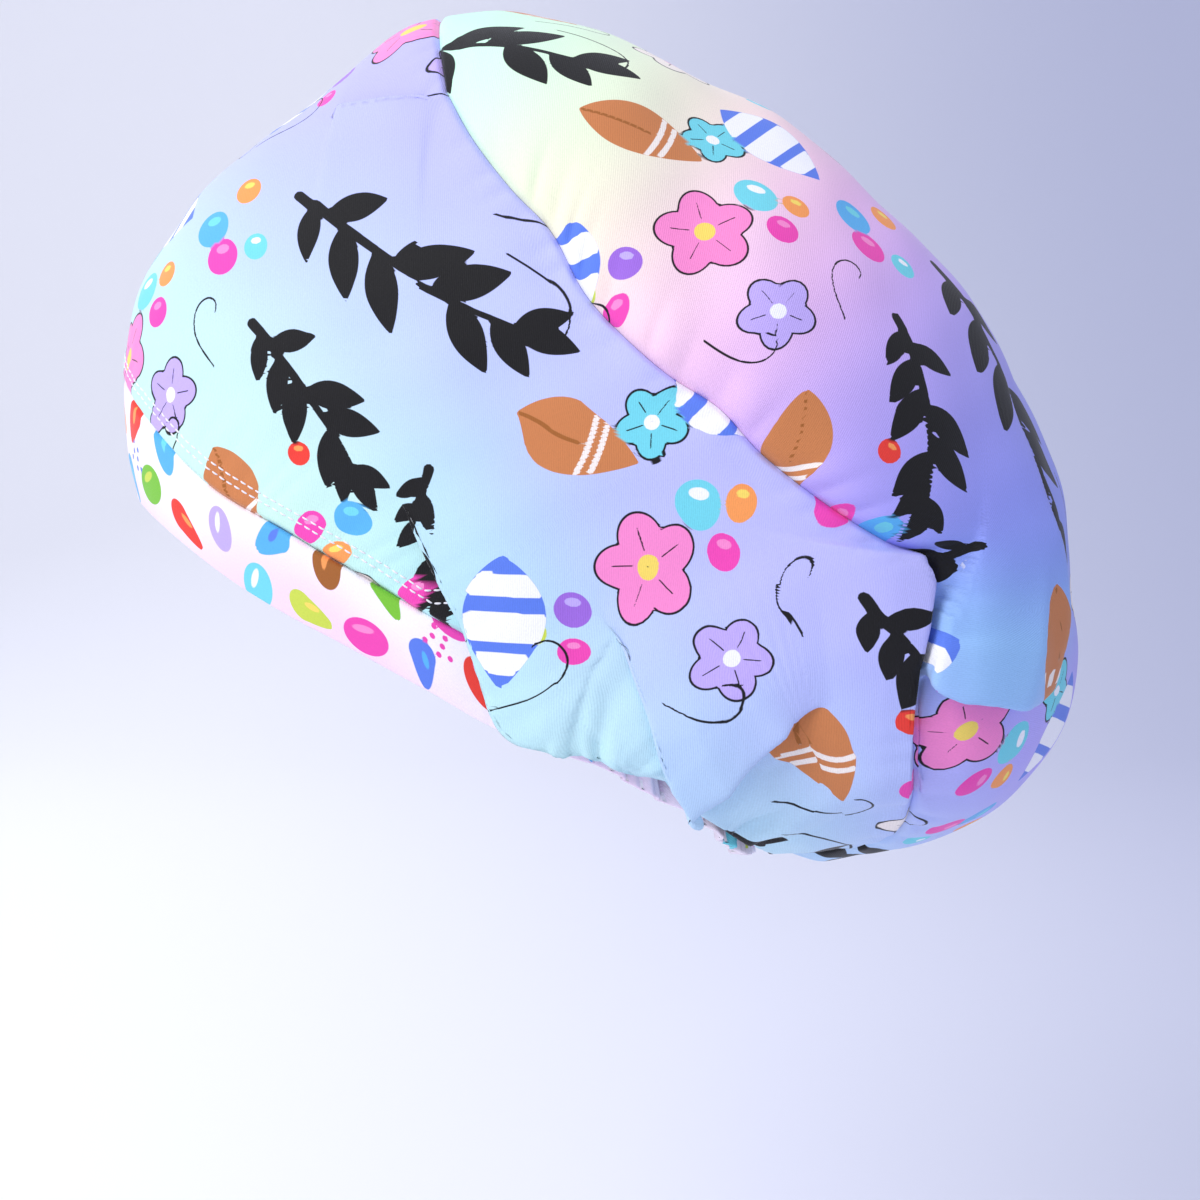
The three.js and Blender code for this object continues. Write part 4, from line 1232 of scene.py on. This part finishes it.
class CapClothSettings(bpy.types.PropertyGroup):
    """Sizes of the cloth."""

    thickness: bpy.props.FloatProperty(
        name="Thickness", description="Thickness of the cotton", default=0.0006, unit="LENGTH")
    fold_edge: bpy.props.FloatProperty(
        name="Fold Edge", description="Half width over which a fold climbs to its lift", default=0.0055,
        unit="LENGTH")
    take_up: bpy.props.FloatProperty(
        name="Take-up Spread", description="How far from a fold its hidden print is made up for", default=0.055,
        unit="LENGTH")
    gather_depth: bpy.props.FloatProperty(
        name="Gather Depth", description="Depth of the gathers at the elastic", default=0.0015, unit="LENGTH")
    slack: bpy.props.FloatProperty(
        name="Slack", description="Height of the soft waves in the loose cloth", default=0.0012, unit="LENGTH")
    brow_hem: bpy.props.FloatProperty(
        name="Brow Hem", description="Height of the inside hem of the brow band", default=0.018, unit="LENGTH")
    nape_hem: bpy.props.FloatProperty(
        name="Nape Hem", description="Height of the inside of the elastic casing", default=0.0125,
        unit="LENGTH")
    roll: bpy.props.FloatProperty(
        name="Edge Roll", description="Radius of the rolled lower edge", default=0.0009, unit="LENGTH")


class CapStitchSettings(bpy.types.PropertyGroup):
    """Sizes and colour of the topstitching."""

    stitch: bpy.props.FloatProperty(
        name="Stitch", description="Length of one stitch", default=0.0021, unit="LENGTH")
    pitch: bpy.props.FloatProperty(
        name="Pitch", description="Distance from one stitch to the next", default=0.0027, unit="LENGTH")
    radius: bpy.props.FloatProperty(
        name="Thread Radius", description="Radius of the thread", default=0.0003, unit="LENGTH")
    colour: bpy.props.FloatVectorProperty(
        name="Thread Colour", description="Colour of the thread", subtype="COLOR", size=3,
        default=(0.90, 0.88, 0.94))


class CapStageSettings(bpy.types.PropertyGroup):
    """Camera, light and floor."""

    lens: bpy.props.FloatProperty(name="Lens", description="Focal length in millimetres", default=70.0)
    distance: bpy.props.FloatProperty(
        name="Distance", description="From the camera to the point that it looks at", default=0.7232,
        unit="LENGTH")
    elevation: bpy.props.FloatProperty(
        name="Elevation", description="Angle of the camera above level", default=math.radians(10),
        subtype="ANGLE")
    target: bpy.props.FloatVectorProperty(
        name="Target", description="Point that the camera looks at", subtype="TRANSLATION",
        default=(0.049, 0, 0.023))
    floor_drop: bpy.props.FloatProperty(
        name="Floor", description="Height of the floor", default=-0.30, unit="LENGTH")
    floor_colour: bpy.props.FloatVectorProperty(
        name="Floor Colour", description="Colour of floor and backdrop", subtype="COLOR", size=3,
        default=(0.95, 0.95, 0.99))
    # The backdrop's painted shade runs from floor_colour on the lit side to this colour on the other.
    painted_shade_colour: bpy.props.FloatVectorProperty(
        name="Shade Colour", description="Colour of the backdrop on the shaded side", subtype="COLOR", size=3,
        default=(0.60, 0.62, 0.78))


class CAP_OT_side_band(bpy.types.Operator):
    """Build the printed side band from the brow round to the nape"""

    bl_idname = "cap.side_band"
    bl_label = "Side Band"

    def execute(self, context):
        settings = context.scene.cap_cloth
        grid = side_grid(near_columns=331, far_columns=211, middle=117)
        piece = panel_piece("side_panel", grid, side_cloth, SIDE_WASH, (81, 15), (-8, (18, 84)), settings)
        dress(piece, "printed_cotton_side", "side_band")
        return {"FINISHED"}


class CAP_OT_crown(bpy.types.Operator):
    """Build the printed crown and the bag at its back"""

    bl_idname = "cap.crown"
    bl_label = "Crown"

    def execute(self, context):
        settings = context.scene.cap_cloth
        grid = crown_grid(rows=317, columns=197)
        piece = panel_piece("crown_panel", grid, crown_cloth, CROWN_WASH, (45, 21), (20, (40, 20)), settings)
        dress(piece, "printed_cotton_crown", "crown")
        return {"FINISHED"}


class CAP_OT_brow_band(bpy.types.Operator):
    """Build the contrast band over the brow, with its hem"""

    bl_idname = "cap.brow_band"
    bl_label = "Brow Band"

    def execute(self, context):
        settings = context.scene.cap_cloth
        end = BAND_CHANGE_TURN + BAND_OVERLAP
        turns = np.linspace(-end, end, 481)
        piece = band_piece("brow_strip", turns, settings.brow_hem / MM, settings, lip=2.6, under=1)
        dress(piece, "contrast_cotton_brow", "brow_band")
        return {"FINISHED"}


class CAP_OT_nape_band(bpy.types.Operator):
    """Build the gathered casing of the elastic at the nape"""

    bl_idname = "cap.nape_band"
    bl_label = "Nape Band"

    def execute(self, context):
        settings = context.scene.cap_cloth
        start = BAND_CHANGE_TURN - BAND_OVERLAP
        turns = np.linspace(start, 360 - start, 521)
        turns = np.where(turns > 180, turns - 360, turns)
        piece = band_piece("nape_casing", turns, settings.nape_hem / MM, settings, lip=2.4, under=-1)
        dress(piece, "contrast_cotton_nape", "nape_band")
        return {"FINISHED"}


class CAP_OT_topstitching(bpy.types.Operator):
    """Sew the two rows of stitches above the bands"""

    bl_idname = "cap.topstitching"
    bl_label = "Topstitching"

    def execute(self, context):
        cloth = context.scene.cap_cloth
        sewing = context.scene.cap_stitches
        rows = [stitch_row(lambda steps, rise=rise: stitch_line(steps, rise, cloth),
                           sewing.pitch / MM, sewing.stitch / MM) for rise in STITCH_RISES]
        starts, ends, ups = (np.concatenate(parts) for parts in zip(*rows))
        piece = thread_object("topstitching", starts, ends, ups, sewing.radius / MM)
        piece.data.materials.append(thread_material(sewing.colour))
        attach(piece, "root")
        return {"FINISHED"}


class CAP_OT_stage(bpy.types.Operator):
    """Set the camera, the soft lights, the floor and the backdrop"""

    bl_idname = "cap.stage"
    bl_label = "Stage"

    def execute(self, context):
        settings = context.scene.cap_stage
        scene = context.scene
        target = Vector(settings.target)
        tilt = settings.elevation
        data = bpy.data.cameras.new("camera")
        data.lens = settings.lens
        data.sensor_width = 36
        data.clip_start = 0.01
        data.clip_end = 20
        camera = linked("camera", data)
        camera.location = target + Vector((0, -math.cos(tilt), math.sin(tilt))) * settings.distance
        camera.rotation_euler = (math.pi / 2 - tilt, 0, 0)
        scene.camera = camera

        # The paper: level, then a quarter round of a bend, then upright; 8 m wide.
        low, flat_end, bend, top = settings.floor_drop, 1.1, 0.9, 3.5
        profile = [(-3.0, low), (flat_end, low)]
        profile += [(flat_end + bend * math.sin(a), low + bend * (1 - math.cos(a)))
                    for a in np.linspace(0.1, math.pi / 2, 16)]
        profile += [(flat_end + bend, low + top)]
        vertices = [(x, y, z) for y, z in profile for x in (-4, 4)]
        faces = [(2 * i, 2 * i + 1, 2 * i + 3, 2 * i + 2) for i in range(len(profile) - 1)]
        backdrop = smooth_piece("backdrop", vertices, faces)
        backdrop.data.materials.append(backdrop_material(settings.floor_colour, settings.painted_shade_colour))

        for name, place, size, power, colour in LIGHTS:
            data = bpy.data.lights.new(name, "AREA")
            data.shape = "DISK"
            data.size = size
            data.energy = power
            data.color = colour
            lamp = linked(name, data)
            lamp.location = place
            lamp.rotation_euler = (target - Vector(place)).to_track_quat("-Z", "Y").to_euler()
        world = bpy.data.worlds.new("studio")
        world.use_nodes = True
        background = world.node_tree.nodes["Background"]
        background.inputs["Color"].default_value = (0.80, 0.84, 1.0, 1)
        background.inputs["Strength"].default_value = 0.62
        scene.world = world
        scene.view_settings.view_transform = "Standard"
        return {"FINISHED"}


STEPS = ("side_band", "crown", "brow_band", "nape_band", "topstitching", "stage")


class CAP_PT_sidebar(bpy.types.Panel):
    """Lists the steps that build the cap"""

    bl_idname = "CAP_PT_sidebar"
    bl_label = "Scrub Cap"
    bl_space_type = "VIEW_3D"
    bl_region_type = "UI"
    bl_category = "Scrub Cap"

    def draw(self, context):
        for step in STEPS:
            self.layout.operator("cap." + step)


CLASSES = (
    CapClothSettings, CapStitchSettings, CapStageSettings, CAP_OT_side_band, CAP_OT_crown, CAP_OT_brow_band,
    CAP_OT_nape_band, CAP_OT_topstitching, CAP_OT_stage, CAP_PT_sidebar,
)


def register():
    for cls in CLASSES:
        bpy.utils.register_class(cls)
    bpy.types.Scene.cap_cloth = bpy.props.PointerProperty(type=CapClothSettings)
    bpy.types.Scene.cap_stitches = bpy.props.PointerProperty(type=CapStitchSettings)
    bpy.types.Scene.cap_stage = bpy.props.PointerProperty(type=CapStageSettings)


def unregister():
    del bpy.types.Scene.cap_stage
    del bpy.types.Scene.cap_stitches
    del bpy.types.Scene.cap_cloth
    for cls in reversed(CLASSES):
        bpy.utils.unregister_class(cls)


def main():
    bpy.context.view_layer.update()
    register()
    for step in STEPS:
        getattr(bpy.ops.cap, step)()


if __name__ == "__main__":
    main()
